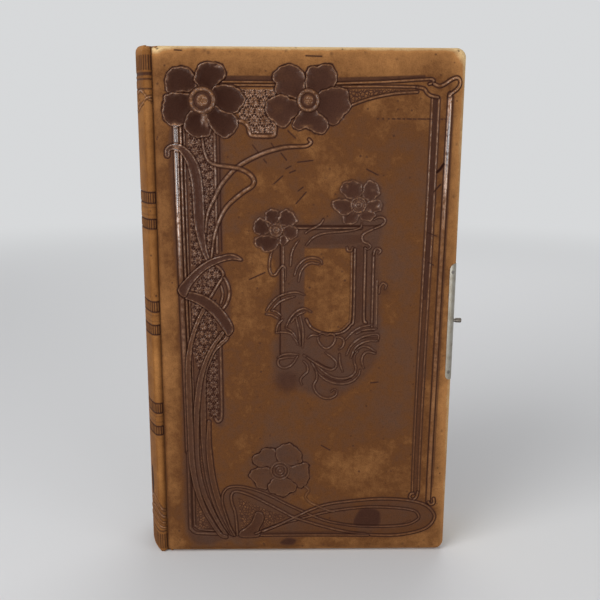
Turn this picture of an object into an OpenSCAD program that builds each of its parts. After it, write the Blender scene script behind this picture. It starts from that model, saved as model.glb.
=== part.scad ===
// A padded leather photograph album that stands on its tail edge, with its front cover facing -Y.
// X runs from the spine to the fore-edge, Y through the thickness, Z from tail to head.
// Book coordinates start at the cover hinge line (x), mid-thickness (y) and the tail edge (z).

/* [Covers] */
// Height of the covers
cover_h = 280; // [240:1:330]
// Width of a cover, from its hinge line to the fore-edge
cover_w = 162; // [150:1:200]
// Thickness of the pasteboard
board_t = 4.8; // [4.6:0.1:6]
// Thickness of the wadding over the board
wadding_t = 1.5; // [1:0.1:2.5]
// Thickness of the cover leather
leather_t = 1.0; // [0.8:0.1:1.4]
// Thickness of the pared leather turned in over the board
turn_in_t = 0.7; // [0.5:0.1:1]
// Width of the leather turned in over the board
turn_in_w = 14; // [8:1:20]
// Radius of the rolled outer edges
edge_r = 5; // [4.6:0.1:6]
// Radius of the cover corners seen from the front
corner_r = 5; // [3:0.5:10]
// Radius of the inner edges
inner_r = 0.8; // [0.4:0.1:1.2]
// Thickness of the paper pasted inside the cover
paper_t = 0.3; // [0.2:0.05:0.4]
// Bare turned-in leather left round the pasted paper
paper_margin = 4; // [2:0.5:7]

/* [Leaves] */
// Number of leaves, half of them turning with each cover
leaf_count = 10; // [4:2:10]
// Thickness of the card core of a leaf
core_t = 0.8; // [0.6:0.1:1.2]
// Thickness of each window mat
mat_t = 1.1; // [1.0:0.1:1.4]
// Thickness of the mat's lip over the edge of a photograph
lip_t = 0.5; // [0.3:0.1:0.6]
// Air between two leaves
leaf_gap = 0.3; // [0.25:0.05:0.6]
// Air between the leaves and the covers
block_gap = 0.5; // [0.4:0.1:1]
// Cover showing beyond the leaves at head and tail
square_h = 3.5; // [2:0.5:6]
// Cover showing beyond the leaves at the fore-edge
square_w = 4; // [2:0.5:6]
// Corner radius of the leaves
leaf_r = 3; // [1:0.5:8]
// Free width of the linen guard, from its hinge line to the mats
guard_free = 11; // [10.8:0.2:14]
// Width of the guard glued between the mats
guard_lap = 10; // [6:1:14]

/* [Photograph windows] */
// Width of a cabinet card
cabinet_w = 108; // [104:1:112]
// Height of a cabinet card
cabinet_h = 165; // [160:1:170]
// Width of a carte de visite
carte_w = 64; // [60:1:68]
// Height of a carte de visite
carte_h = 102; // [98:1:106]
// Lip that covers the edge of each card
card_lip = 6; // [4:0.5:8]
// Play of a card in its pocket
card_play = 1; // [0.5:0.25:2]
// Height of the slit that a card slides in by
slit_h = 1.2; // [0.8:0.1:2]

/* [Spine] */
// Bulge of the round spine
spine_bulge = 7; // [6:0.5:13]
// Distance from the hinge line back to the edges of the spine
spine_setback = 2; // [1.5:0.1:3]
// Thickness of the spine leather
spine_leather_t = 1.2; // [0.9:0.1:1.4]
// Thickness of the card liner of the spine
liner_t = 1.0; // [0.6:0.1:1.4]
// Thickness of the spine cloth
cloth_t = 0.5; // [0.3:0.1:0.8]
// Depth of the joint groove below the covers
groove_d = 1.2; // [0.9:0.1:1.6]
// Height of the leather cap over each end of the spine liner
cap_h = 2; // [1:0.5:3]

/* [Clasp] */
// Drop of the clasp below the middle of the fore-edge
clasp_drop = 3.5; // [0:0.5:20]
// Length of the clasp plates
plate_len = 65; // [50:1:80]
// Width of a clasp plate seen from the front
plate_w = 4; // [3:0.1:4.4]
// Thickness of the clasp plates
plate_t = 0.8; // [0.7:0.05:0.9]
// Depth of a clasp plate let into the leather
plate_sink = 0.5; // [0.4:0.05:0.6]
// Radius of the plate pins
pin_r = 1; // [0.6:0.05:1.1]
// Length of the stud that stands on the front plate
stud_len = 4.5; // [3.5:0.1:5]
// Radius of the stud's head
stud_r = 1.3; // [1.15:0.05:1.35]
// Radius of the stud's neck
neck_r = 1.0; // [0.8:0.05:1.1]
// Thickness of the hasp strap
strap_t = 0.9; // [0.7:0.05:1]
// Width of the hasp strap
strap_w = 9; // [8.6:0.1:10]
// Radius of the hinge knuckles
knuckle_r = 1.4; // [1.3:0.05:1.5]
// Radius of the hinge pin
hinge_pin_r = 0.6; // [0.5:0.05:0.7]

/* [Hidden] */
$fn = 64;
eps = 0.01;
big = 500;
// Clearances
glue_gap = 0.1;
hinge_gap = 0.1;
stub_gap = 0.1;
leaf_swing_gap = 0.1;
strap_gap = 0.25;
knuckle_gap = 0.25;
running_gap = 0.05;
hole_gap = 0.45;
// Thicknesses
cover_t = leather_t + wadding_t + board_t + turn_in_t;
leaf_t = core_t + 2 * mat_t;
leaf_pitch = leaf_t + leaf_gap;
block_t = leaf_count * leaf_pitch;
album_t = 2 * (cover_t + block_gap) + block_t;
half_t = album_t / 2;
// The slab of a cover starts beside the hinge line
slab_x = 1.5;
slab_w = cover_w - slab_x;
flap_w = 3.5;
flap_inset = 1;
cavity_inner_r = 0.2;
// Spine arc through the two joint edges
half_chord = half_t - groove_d;
spine_r = (pow(half_chord, 2) + pow(spine_bulge, 2)) / (2 * spine_bulge);
spine_x = -spine_setback - spine_bulge + spine_r;
liner_r = spine_r - spine_leather_t;
cloth_r = liner_r - liner_t;
stub_r = cloth_r - cloth_t - glue_gap;
hinge_y = half_chord + hinge_gap;
// Leaves
leaf_axis_x = 2.5;
guard_r = core_t / 2;
stub_x = leaf_axis_x - guard_r - leaf_swing_gap;
mat_x = leaf_axis_x + guard_free;
core_x = mat_x + guard_lap;
leaf_end = cover_w - square_w;
mat_w = leaf_end - mat_x;
leaf_h = cover_h - 2 * square_h;
window_x = mat_x + mat_w / 2;
window_z = cover_h / 2;
pocket_t = mat_t - lip_t;
arch_r = 14;
carte_gap = 26;
carte_step = carte_h + carte_gap;
// Clasp, with the roll of the fore-edge as its reference
clasp_z = cover_h / 2 - clasp_drop;
roll_x = cover_w - edge_r;
roll_y = half_t - edge_r;
plate_in_r = edge_r - plate_sink;
plate_out_r = plate_in_r + plate_t;
plate_proud = plate_t - plate_sink;
plate_round = 3;
plate_margin = 0.3;
plate_inner_y = half_t - cover_t + plate_margin;
pin_reach = 1;
pin_angle = 32;
pin_stand = 0.12;
pin_inset = 4.5;
pin_z = plate_len / 2 - pin_inset;
stud_inset = 1.5;
stud_y = roll_y - stud_inset;
stud_base = cover_w + plate_proud;
neck_play = 0.3;
neck_len = strap_gap + strap_t + neck_play;
shank_r = 0.6;
shank_len = 3.5;
axis_off = plate_proud + strap_gap + strap_t / 2;
axis_x = cover_w + axis_off;
axis_y = half_t + axis_off;
hasp_reach = axis_y + stud_y;
hasp_knuckle_len = 5;
plate_knuckle_len = 3;
ear_t = 1.6;
hinge_pin_len = hasp_knuckle_len + 2 * (knuckle_gap + plate_knuckle_len);
// The origin lies under the middle of the whole album
reach_front = roll_y + sqrt(pow(plate_out_r, 2) - pow(edge_r - plate_w, 2));
reach_back = axis_y + knuckle_r;
reach_left = -spine_setback - spine_bulge;
reach_right = stud_base + stud_len;
shift = [-(reach_left + reach_right) / 2, -(reach_back - reach_front) / 2, 0];

function leaf_name(k) = str("leaf_", k < 10 ? "0" : "", k);
function leaf_y(k) = (k - (leaf_count + 1) / 2) * leaf_pitch;

// Moves a piece from book coordinates to the album's own frame
module place() {
    translate(shift) children();
}

// Turns a piece of the front half into its twin on the back half
module to_back() {
    mirror([0, 1, 0]) children();
}

// Rectangle with four rounded corners
module round_rect(w, h, r) {
    translate([r, 0]) square([w - 2 * r, h]);
    translate([0, r]) square([w, h - 2 * r]);
    for (x = [r, w - r]) {
        for (y = [r, h - r]) {
            translate([x, y]) circle(r);
        }
    }
}

// Section of a padded slab: a large roll at the outer face (y = 0), a small one at the inner face
module slab_section(w, t, outer, inner) {
    translate([outer, 0]) square([w - 2 * outer, outer]);
    translate([0, outer]) square([w, t - outer - inner]);
    translate([inner, t - inner - eps]) square([w - 2 * inner, inner + eps]);
    for (x = [outer, w - outer]) {
        translate([x, outer]) circle(outer);
    }
    for (x = [inner, w - inner]) {
        translate([x, t - inner]) circle(inner);
    }
}

// A padded slab of width w, height h and thickness t, outer face at y = 0
module padded_slab(w, h, t, outer, inner, corner) {
    intersection() {
        linear_extrude(h) slab_section(w, t, outer, inner);
        translate([0, 0, h]) rotate([0, 90, 0]) linear_extrude(w) slab_section(h, t, outer, inner);
        translate([0, t, 0]) rotate([90, 0, 0]) linear_extrude(t) round_rect(w, h, corner);
    }
}

// Everything inside the leather of the front cover: wadding and board together
module cover_filling() {
    translate([slab_x + leather_t, leather_t - half_t, leather_t])
        padded_slab(
            slab_w - 2 * leather_t, cover_h - 2 * leather_t, wadding_t + board_t,
            edge_r - leather_t, cavity_inner_r, corner_r - leather_t
        );
}

// Space of the front cover from depth d0 to depth d1 below its outer face
module cover_layer(d0, d1) {
    translate([slab_x, d0 - half_t, 0]) cube([slab_w, d1 - d0, cover_h]);
}

// Rectangle on the inner face of the front cover, a margin m inside its edges
module inner_panel(m, d0, d1) {
    translate([slab_x + m, d0 - half_t, m]) cube([slab_w - 2 * m, d1 - d0, cover_h - 2 * m]);
}

// Strip of the front fore-edge between two radii of its roll
module edge_strip(r0, r1) {
    intersection() {
        linear_extrude(cover_h) {
            intersection() {
                translate([roll_x, -roll_y]) difference() {
                    circle(r1);
                    circle(r0);
                }
                translate([roll_x, -roll_y - r1]) square(r1);
            }
            translate([roll_x + r0, -roll_y]) square([r1 - r0, roll_y - plate_inner_y]);
        }
        // Outline seen from the front
        translate([cover_w - plate_w, 0, clasp_z - plate_len / 2])
            rotate([90, 0, 0]) linear_extrude(half_t + edge_r)
                round_rect(2 * plate_w + r1, plate_len, plate_round);
    }
}

// The two pins of the front plate, driven through the roll at an angle to the face
module plate_pins(r) {
    for (z = [clasp_z - pin_z, clasp_z + pin_z]) {
        translate([roll_x, -roll_y, z]) rotate([0, 90, pin_angle - 90]) translate([0, 0, pin_reach])
            cylinder(h = plate_out_r + pin_stand - pin_reach, r = r);
    }
}

// The shank of the stud, from inside the board to the face of the plate
module stud_shank(r) {
    translate([stud_base - plate_t - shank_len, -stud_y, clasp_z]) rotate([0, 90, 0])
        cylinder(h = shank_len + plate_t, r = r);
}

// Leather of one cover before its pins are driven
module cover_leather() {
    difference() {
        union() {
            translate([slab_x, -half_t, 0]) padded_slab(slab_w, cover_h, cover_t, edge_r, inner_r, corner_r);
            translate([hinge_gap, -half_chord, flap_inset])
                cube([flap_w, leather_t, cover_h - 2 * flap_inset]);
        }
        cover_filling();
        inner_panel(turn_in_w, cover_t - turn_in_t - eps, cover_t + eps);
        edge_strip(plate_in_r, edge_r + plate_t);
        plate_pins(pin_r);
    }
}

// Paper on the inside of one cover, with the infill between the turned-in leather
module cover_paper() {
    inner_panel(turn_in_w, cover_t - turn_in_t, cover_t);
    inner_panel(paper_margin, cover_t, cover_t + paper_t);
}

module cover_board() {
    difference() {
        intersection() {
            cover_filling();
            cover_layer(leather_t + wadding_t, cover_t - turn_in_t);
        }
        plate_pins(pin_r);
    }
}

module cover_wadding() {
    difference() {
        intersection() {
            cover_filling();
            cover_layer(leather_t, leather_t + wadding_t);
        }
        plate_pins(pin_r);
    }
}

module front_board() {
    color("burlywood") difference() {
        cover_board();
        stud_shank(shank_r);
    }
}

module front_wadding() {
    color("linen") cover_wadding();
}

module front_leather() {
    color("sienna") difference() {
        cover_leather();
        stud_shank(shank_r);
    }
}

module front_pastedown() {
    color("wheat") cover_paper();
}

module front_clasp_plate() {
    color("silver") difference() {
        edge_strip(plate_in_r, plate_out_r);
        plate_pins(pin_r);
        stud_shank(shank_r);
    }
}

module front_clasp_pins() {
    color("dimgray") plate_pins(pin_r);
}

module clasp_stud() {
    color("gainsboro") {
        stud_shank(shank_r);
        translate([stud_base, -stud_y, clasp_z]) rotate([0, 90, 0]) {
            cylinder(h = neck_len, r = neck_r);
            translate([0, 0, neck_len]) cylinder(h = stud_len - neck_len - stud_r / 4, r = stud_r);
            translate([0, 0, stud_len - stud_r / 4])
                cylinder(h = stud_r / 4, r1 = stud_r, r2 = stud_r * 0.75);
        }
    }
}

module back_board() {
    color("burlywood") to_back() cover_board();
}

module back_wadding() {
    color("linen") to_back() cover_wadding();
}

module back_leather() {
    color("saddlebrown") to_back() cover_leather();
}

module back_pastedown() {
    color("wheat") to_back() cover_paper();
}

// Height of the lowest point of knuckle i of the clasp hinge, counted from the tail end
function knuckle_z(i) = clasp_z - hinge_pin_len / 2
    + (i > 0 ? plate_knuckle_len + knuckle_gap : 0)
    + (i > 1 ? hasp_knuckle_len + knuckle_gap : 0);

module back_clasp_plate() {
    color("silver") difference() {
        union() {
            to_back() edge_strip(plate_in_r, plate_out_r);
            for (i = [0, 2]) {
                translate([axis_x, axis_y, knuckle_z(i)]) {
                    cylinder(h = plate_knuckle_len, r = knuckle_r);
                    // Ear from the knuckle down to the middle of the plate's thickness
                    rotate([0, 0, 225]) translate([0, -ear_t / 2, 0])
                        cube([norm([axis_x - roll_x, axis_y - roll_y]) - plate_in_r - plate_t / 2,
                            ear_t, plate_knuckle_len]);
                }
            }
        }
        translate([axis_x, axis_y, 0]) cylinder(h = cover_h, r = hinge_pin_r);
        to_back() plate_pins(pin_r);
    }
}

module back_clasp_pins() {
    color("dimgray") to_back() plate_pins(pin_r);
}

module clasp_hinge_pin() {
    color("gray") translate([axis_x, axis_y, knuckle_z(0)]) cylinder(h = hinge_pin_len, r = hinge_pin_r);
}

// The hasp lies folded back along the back cover
module clasp_hasp() {
    neck_end = knuckle_r + strap_gap;
    color("silver") translate([axis_x, axis_y, clasp_z]) difference() {
        union() {
            translate([0, 0, -hasp_knuckle_len / 2]) cylinder(h = hasp_knuckle_len, r = knuckle_r);
            translate([-neck_end - 1, -strap_t / 2, -hasp_knuckle_len / 2])
                cube([neck_end + 1, strap_t, hasp_knuckle_len]);
            rotate([90, 0, 0]) translate([0, 0, -strap_t / 2]) linear_extrude(strap_t) {
                translate([-hasp_reach, -strap_w / 2]) square([hasp_reach - neck_end, strap_w]);
                translate([-hasp_reach, 0]) circle(strap_w / 2);
            }
        }
        translate([0, 0, -hasp_knuckle_len]) cylinder(h = 2 * hasp_knuckle_len, r = hinge_pin_r + running_gap);
        translate([-hasp_reach, strap_t, 0]) rotate([90, 0, 0])
            cylinder(h = 2 * strap_t, r = stud_r + hole_gap);
    }
}

// Shell of the round spine between two radii, behind the joint edges
module spine_shell(r0, r1, h) {
    intersection() {
        translate([spine_x, 0, (cover_h - h) / 2]) difference() {
            cylinder(h = h, r = r1, $fn = 128);
            translate([0, 0, -eps]) cylinder(h = h + 2 * eps, r = r0, $fn = 128);
        }
        translate([-spine_setback - big, -big / 2, 0]) cube([big, big, cover_h]);
    }
}

module spine_leather() {
    color("sienna") {
        spine_shell(liner_r, spine_r, cover_h);
        for (z = [0, cover_h - cap_h]) {
            intersection() {
                spine_shell(cloth_r, liner_r + eps, cover_h);
                translate([-big / 2, -big / 2, z]) cube([big, big, cap_h]);
            }
        }
    }
}

module spine_liner() {
    color("tan") spine_shell(cloth_r, liner_r, cover_h - 2 * cap_h);
}

module spine_cloth() {
    color("beige") spine_shell(cloth_r - cloth_t, cloth_r, leaf_h);
}

module guard_stubs() {
    color("antiquewhite") intersection() {
        for (k = [1 : leaf_count]) {
            translate([-spine_bulge - spine_setback, leaf_y(k) - (leaf_pitch - stub_gap) / 2, square_h])
                cube([spine_bulge + spine_setback + stub_x, leaf_pitch - stub_gap, leaf_h]);
        }
        translate([spine_x, 0, 0]) cylinder(h = cover_h, r = stub_r, $fn = 128);
    }
}

module front_joint_leather() {
    color("sienna") translate([-spine_setback, -half_chord, 0])
        cube([spine_setback - hinge_gap, leather_t, cover_h]);
}

module back_joint_leather() {
    color("saddlebrown") to_back() translate([-spine_setback, -half_chord, 0])
        cube([spine_setback - hinge_gap, leather_t, cover_h]);
}

// Outline of a leaf from x0 to the fore-edge, with rounded outer corners
module leaf_outline(x0) {
    translate([x0, square_h]) square([leaf_end - x0 - leaf_r, leaf_h]);
    translate([x0, square_h + leaf_r]) square([leaf_end - x0, leaf_h - 2 * leaf_r]);
    for (z = [square_h + leaf_r, square_h + leaf_h - leaf_r]) {
        translate([leaf_end - leaf_r, z]) circle(leaf_r);
    }
}

// Sheet in the XZ plane from y = 0 to y = t
module sheet(t) {
    translate([0, t, 0]) rotate([90, 0, 0]) linear_extrude(t) children();
}

// Window of w by h with a round head of corner radius r, centred on the origin
module window(w, h, r) {
    flat = w - 2 * r;
    translate([-w / 2, -h / 2]) square([w, h - r]);
    if (flat > eps) translate([-flat / 2, h / 2 - r - eps]) square([flat, r + eps]);
    for (x = flat > eps ? [-flat / 2, flat / 2] : [0]) {
        translate([x, h / 2 - r]) circle(r);
    }
}

// Centres of the cards on leaf k: one cabinet card, or two cartes one above the other
function card_rows(k) = k % 2 == 1 ? [0] : [-carte_step / 2, carte_step / 2];
function card_w(k) = k % 2 == 1 ? cabinet_w : carte_w;
function card_h(k) = k % 2 == 1 ? cabinet_h : carte_h;

// Window mat of leaf k, its face at y = 0 and its pocket side at y = mat_t
module window_mat(k) {
    w = card_w(k);
    h = card_h(k);
    head_r = k % 2 == 1 ? arch_r : (w - 2 * card_lip) / 2;
    difference() {
        sheet(mat_t) leaf_outline(mat_x);
        for (row = card_rows(k)) {
            translate([window_x, 0, window_z + row]) {
                translate([0, -eps, 0]) sheet(mat_t + 2 * eps)
                    window(w - 2 * card_lip, h - 2 * card_lip, head_r);
                translate([-w / 2 - card_play, lip_t, -h / 2 - card_play])
                    cube([w + 2 * card_play, pocket_t + eps, h + 2 * card_play]);
                translate([-w / 2 - card_play, -eps, -h / 2 - card_play])
                    cube([w + 2 * card_play, mat_t, slit_h]);
            }
        }
    }
}

module leaf_core(k) {
    color("cornsilk") translate([0, leaf_y(k) - core_t / 2, 0]) sheet(core_t) leaf_outline(core_x);
}

module leaf_mats(k) {
    color("oldlace") translate([0, leaf_y(k), 0]) {
        translate([0, -leaf_t / 2, 0]) window_mat(k);
        to_back() translate([0, -leaf_t / 2, 0]) window_mat(k);
    }
}

module leaf_guard(k) {
    color("bisque") translate([leaf_axis_x, leaf_y(k), square_h]) {
        cylinder(h = leaf_h, r = guard_r);
        translate([0, -guard_r, 0]) cube([guard_free + guard_lap, core_t, leaf_h]);
    }
}

place() front_board();
place() front_wadding();
place() front_leather();
place() front_pastedown();
place() front_clasp_plate();
place() front_clasp_pins();
place() clasp_stud();
place() back_board();
place() back_wadding();
place() back_leather();
place() back_pastedown();
place() back_clasp_plate();
place() back_clasp_pins();
place() clasp_hinge_pin();
place() clasp_hasp();
place() spine_leather();
place() spine_liner();
place() spine_cloth();
place() guard_stubs();
place() front_joint_leather();
place() back_joint_leather();
for (k = [1 : leaf_count]) {
    place() leaf_core(k);
    place() leaf_mats(k);
    place() leaf_guard(k);
}
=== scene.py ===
# %% [markdown]
# # A photograph album bound in tooled leather
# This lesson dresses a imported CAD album: two padded covers, a rounded spine, ten stiff leaves and a
# nickel clasp. The CAD solids stay as the frame. The leather, whose stamped flowers and frames no
# plain solid holds, is modelled here, and everything else gets its finish here.

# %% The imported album
import math
import bmesh
import bpy
import numpy as np
from mathutils import Matrix, Vector


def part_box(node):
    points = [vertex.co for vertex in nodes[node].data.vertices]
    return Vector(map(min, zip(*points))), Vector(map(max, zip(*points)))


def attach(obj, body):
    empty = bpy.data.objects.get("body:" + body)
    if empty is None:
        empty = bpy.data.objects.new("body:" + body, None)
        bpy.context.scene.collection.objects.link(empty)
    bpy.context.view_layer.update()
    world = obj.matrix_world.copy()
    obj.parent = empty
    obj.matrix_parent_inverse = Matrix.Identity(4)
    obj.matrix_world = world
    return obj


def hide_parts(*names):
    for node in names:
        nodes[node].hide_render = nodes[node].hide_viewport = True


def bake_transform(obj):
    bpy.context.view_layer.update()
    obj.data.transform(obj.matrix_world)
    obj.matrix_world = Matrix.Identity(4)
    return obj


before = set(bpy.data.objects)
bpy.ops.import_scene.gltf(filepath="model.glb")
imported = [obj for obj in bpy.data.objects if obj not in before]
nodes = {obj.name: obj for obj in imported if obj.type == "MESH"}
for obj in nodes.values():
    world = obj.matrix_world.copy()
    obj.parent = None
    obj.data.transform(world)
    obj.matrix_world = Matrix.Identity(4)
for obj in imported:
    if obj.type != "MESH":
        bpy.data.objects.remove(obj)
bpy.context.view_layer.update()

# %% [markdown]
# A binder measures a book from its hinge line, from the middle of its thickness and from its tail.
# The same lines are used here, in millimetres, and one helper carries them into the row frame. The
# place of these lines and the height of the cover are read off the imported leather.

# %% The binder's own lines
MM = 0.001
low, high = (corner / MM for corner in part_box("front_leather"))
COVER_W, COVER_H, COVER_T, HALF_T = 162.0, high.z - low.z, 8.0, 25.0
HINGE_X = high.x - COVER_W
MIDDLE_Y = low.y + HALF_T


def put(x, y, z):
    """Book lines in millimetres to a point of the row frame."""
    return Vector(((x + HINGE_X) * MM, (y + MIDDLE_Y) * MM, z * MM))


print(f"hinge line at x {HINGE_X:.2f} mm, middle at y {MIDDLE_Y:.2f} mm, cover {COVER_H:.1f} mm tall")

# %% [markdown]
# The camera stands where the photographer stood. Its place was worked out from the four corners of
# the front cover: nearly square on, a little above the middle and looking down, so that the cover
# narrows towards the tail. The lens is given for a picture of 600 by 600.

# %% The camera
eye = bpy.data.objects.new("camera", bpy.data.cameras.new("camera"))
bpy.context.scene.collection.objects.link(eye)
SENSOR_W, LENS = 36.0, 48.0
STAND = put(67.7, -444.5, 243.6)
TURN, TILT, LEAN = math.radians(-1.37), math.radians(90 - 12.66), math.radians(0.31)
eye.data.sensor_width = SENSOR_W
eye.data.lens = LENS
eye.matrix_world = (
    Matrix.Translation(STAND)
    @ Matrix.Rotation(TURN, 4, "Z")
    @ Matrix.Rotation(TILT, 4, "X")
    @ Matrix.Rotation(LEAN, 4, "Z")
)
bpy.context.scene.camera = eye
print("camera at", [round(v, 3) for v in eye.location])

# %% [markdown]
# Every finish below is wired from shader nodes, so a few small helpers keep that short: they make a
# node and fill its sockets, mix two colours, do a sum, give a pattern or a soft step, open a group or
# a material, and put a shared group into a material.

# %% Helpers for wiring nodes
def fill(tree, socket, value):
    if isinstance(value, bpy.types.NodeSocket):
        tree.links.new(value, socket)
    else:
        socket.default_value = value


def node(tree, kind, sockets=None, **settings):
    made = tree.nodes.new(kind)
    for key, value in settings.items():
        setattr(made, key, value)
    for key, value in (sockets or {}).items():
        fill(tree, made.inputs[key], value)
    return made


def mixed(tree, share, first, second, blend="MIX"):
    sockets = {0: share, 6: first, 7: second}
    return node(tree, "ShaderNodeMix", sockets, data_type="RGBA", blend_type=blend).outputs[2]


def sums(tree, kind, first, second=0.0, third=0.0, clamp=False):
    sockets = {0: first, 1: second, 2: third}
    return node(tree, "ShaderNodeMath", sockets, operation=kind, use_clamp=clamp).outputs[0]


def noise(tree, place, scale, detail=3.0, rough=0.55):
    sockets = {"Vector": place, "Scale": scale, "Detail": detail, "Roughness": rough}
    return node(tree, "ShaderNodeTexNoise", sockets).outputs["Fac"]


def cells(tree, place, scale, feature="F1"):
    return node(tree, "ShaderNodeTexVoronoi", {"Vector": place, "Scale": scale}, feature=feature).outputs


def ramp(tree, value, low, high, start=0.0, end=1.0, kind="SMOOTHSTEP"):
    """A step from start to end as the value goes from low to high, soft unless kind says else."""
    sockets = {"Value": value, "From Min": low, "From Max": high, "To Min": start, "To Max": end}
    return node(tree, "ShaderNodeMapRange", sockets, interpolation_type=kind).outputs[0]


def group(name, inputs, outputs):
    """An empty node group with named sockets, and its two ends."""
    made = bpy.data.node_groups.new(name, "ShaderNodeTree")
    for key, kind in inputs.items():
        made.interface.new_socket(key, in_out="INPUT", socket_type="NodeSocket" + kind)
    for key, kind in outputs.items():
        made.interface.new_socket(key, in_out="OUTPUT", socket_type="NodeSocket" + kind)
    return made, made.nodes.new("NodeGroupInput").outputs, made.nodes.new("NodeGroupOutput").inputs


def finish_material(name):
    """A new material with its Principled shader and its Object coordinates."""
    made = bpy.data.materials.new(name)
    made.use_nodes = True
    tree = made.node_tree
    shader = next(n for n in tree.nodes if n.type == "BSDF_PRINCIPLED")
    spots = node(tree, "ShaderNodeTexCoord").outputs
    return made, tree, shader.inputs, spots


def bump(tree, height, depth, strength=1.0):
    made = node(tree, "ShaderNodeBump", {"Height": height, "Distance": depth, "Strength": strength})
    return made.outputs["Normal"]


def shared(tree, effect, place, **colours):
    """A group as a node of a material, with its place and its colours."""
    made = node(tree, "ShaderNodeGroup", {"Vector": place}, node_tree=effect)
    for key, value in colours.items():
        made.inputs[key].default_value = (*value, 1.0)
    return made


print("node helpers ready")

# %% [markdown]
# Soft daylight falls from above and from the left, as from a window, and the room gives the rest.
# Large area lamps make soft shadows, and a side-long main lamp is what makes low relief readable.
# Two small lamps stand where a burnished bead mirrors them to the camera, and one lights the back.
# The levels are plain: a colour comes out about as it is written.

# %% Lamps and world
scene = bpy.context.scene
scene.view_settings.view_transform = "Standard"
PALE = (0.68, 0.69, 0.70, 1.0)
AIR = (0.30, 0.30, 0.31, 1.0)
MIDDLE = Vector((0.0, 0.0, 0.14))


def lamp(name, place, size, watts):
    data = bpy.data.lights.new(name, "AREA")
    data.size = size
    data.energy = watts
    made = bpy.data.objects.new(name, data)
    made.location = place
    made.rotation_euler = (MIDDLE - Vector(place)).to_track_quat("-Z", "Y").to_euler()
    scene.collection.objects.link(made)


def shown(tree):
    """1 on rays that bring the background into the picture: straight, mirrored or through glass."""
    ray = node(tree, "ShaderNodeLightPath").outputs
    mirrored = sums(tree, "MAXIMUM", ray["Is Camera Ray"], ray["Is Glossy Ray"])
    return sums(tree, "MAXIMUM", mirrored, ray["Is Transmission Ray"])


lamp("window_lamp", (-0.6, -0.62, 0.95), 0.6, 6.9)
lamp("side_lamp", (-0.8, -0.62, 0.2), 0.6, 2.9)
lamp("room_lamp", (0.75, -0.62, 0.3), 0.5, 2.4)
lamp("left_glint_lamp", (-0.29, -0.85, 0.12), 0.2, 1.5)
lamp("right_glint_lamp", (0.36, -0.85, 0.19), 0.18, 1.0)
lamp("rear_lamp", (0.2, 0.9, 0.8), 0.9, 5.0)
world = bpy.data.worlds.new("room")
scene.world = world
world.use_nodes = True
sky = world.node_tree
sky.nodes.clear()
pale_room = node(sky, "ShaderNodeBackground", {"Color": PALE}).outputs[0]
soft_light = node(sky, "ShaderNodeBackground", {"Color": AIR}).outputs[0]
either = node(sky, "ShaderNodeMixShader", {0: shown(sky), 1: soft_light, 2: pale_room}).outputs[0]
node(sky, "ShaderNodeOutputWorld", {"Surface": either})
print("lamps:", len(bpy.data.lights), "and a pale room")

# %% [markdown]
# The floor is a plain pale sheet, far larger than the album. Away from the album it fades into the
# colour of the room, so that no horizon shows.

# %% The floor
FLOOR_R, FLOOR_TONE = 8.0, (0.66, 0.665, 0.67, 1.0)
FADE_FROM, FADE_TO = 0.35, 1.6
bm = bmesh.new()
bmesh.ops.create_circle(bm, cap_ends=True, segments=64, radius=FLOOR_R)
mesh = bpy.data.meshes.new("floor")
bm.to_mesh(mesh)
bm.free()
floor = bpy.data.objects.new("floor", mesh)
scene.collection.objects.link(floor)
paper, tree, shader, spots = finish_material("floor_paper")
shader["Base Color"].default_value = FLOOR_TONE
shader["Roughness"].default_value = 0.9
away = node(tree, "ShaderNodeVectorMath", {0: spots["Object"]}, operation="LENGTH").outputs["Value"]
seen_only = sums(tree, "MULTIPLY", ramp(tree, away, FADE_FROM, FADE_TO), shown(tree))
glow = node(tree, "ShaderNodeEmission", {"Color": PALE, "Strength": 1.0})
out = next(n for n in tree.nodes if n.type == "OUTPUT_MATERIAL")
body = next(n for n in tree.nodes if n.type == "BSDF_PRINCIPLED")
either = node(tree, "ShaderNodeMixShader", {0: seen_only, 1: body.outputs[0], 2: glow.outputs[0]})
tree.links.new(either.outputs[0], out.inputs["Surface"])
mesh.materials.append(paper)
print("floor: one sheet")

# %% [markdown]
# ## Tooling the leather
# The binder damps the leather, presses it over engraved plates and models it by hand, so lines stand
# up or sink in by a third of a millimetre, and petals by twice that. Sculpting each line as its own
# mesh would leave seams, so the whole design is drawn once on a plan: a fine raster of heights, with
# the dye and the rubbed crests beside it. Points of the lines are read off the photograph, in book
# lines. A grid is then made finer only where the plan is busy, and the plan lifts its points.

# %% Smooth lines through given points
def ease(start, end, x):
    t = np.clip((x - start) / (end - start), 0.0, 1.0)
    return t * t * (3.0 - 2.0 * t)


def bell(x, wide):
    return np.exp(-((x / wide) ** 2))


def tapered(wide, ends, along, share):
    """Half the width of a line that narrows over a share of its length at each end."""
    half = wide / 2 * (ends[0] + (1 - ends[0]) * ease(0, share, along))
    return half * (ends[1] + (1 - ends[1]) * ease(1, 1 - share, along))


def bent(points, closed=False, step=0.7):
    """A smooth line through the points, as a flexible curve ruler would lie."""
    p = np.array(points, float)
    if closed:
        p = np.vstack([p[-1:], p, p[:2]])
    else:
        p = np.vstack([2 * p[0] - p[1], p, 2 * p[-1] - p[-2]])
    parts = []
    for a, b, c, d in zip(p, p[1:], p[2:], p[3:]):
        t = np.linspace(0, 1, max(2, int(math.dist(b, c) / step) + 1), endpoint=False)[:, None]
        parts.append(b + 0.5 * t * (c - a + t * (2 * a - 5 * b + 4 * c - d + t * (3 * b - a - 3 * c + d))))
    return np.vstack(parts + [p[-2:-1]])


def ring(centre, radius):
    turns = np.linspace(0, 2 * math.pi, 24, endpoint=False)
    return [(centre[0] + radius * math.cos(a), centre[1] + radius * math.sin(a)) for a in turns]


print("a ring of 5 mm has", len(bent(ring((0, 0), 5), True)), "points")

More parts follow.
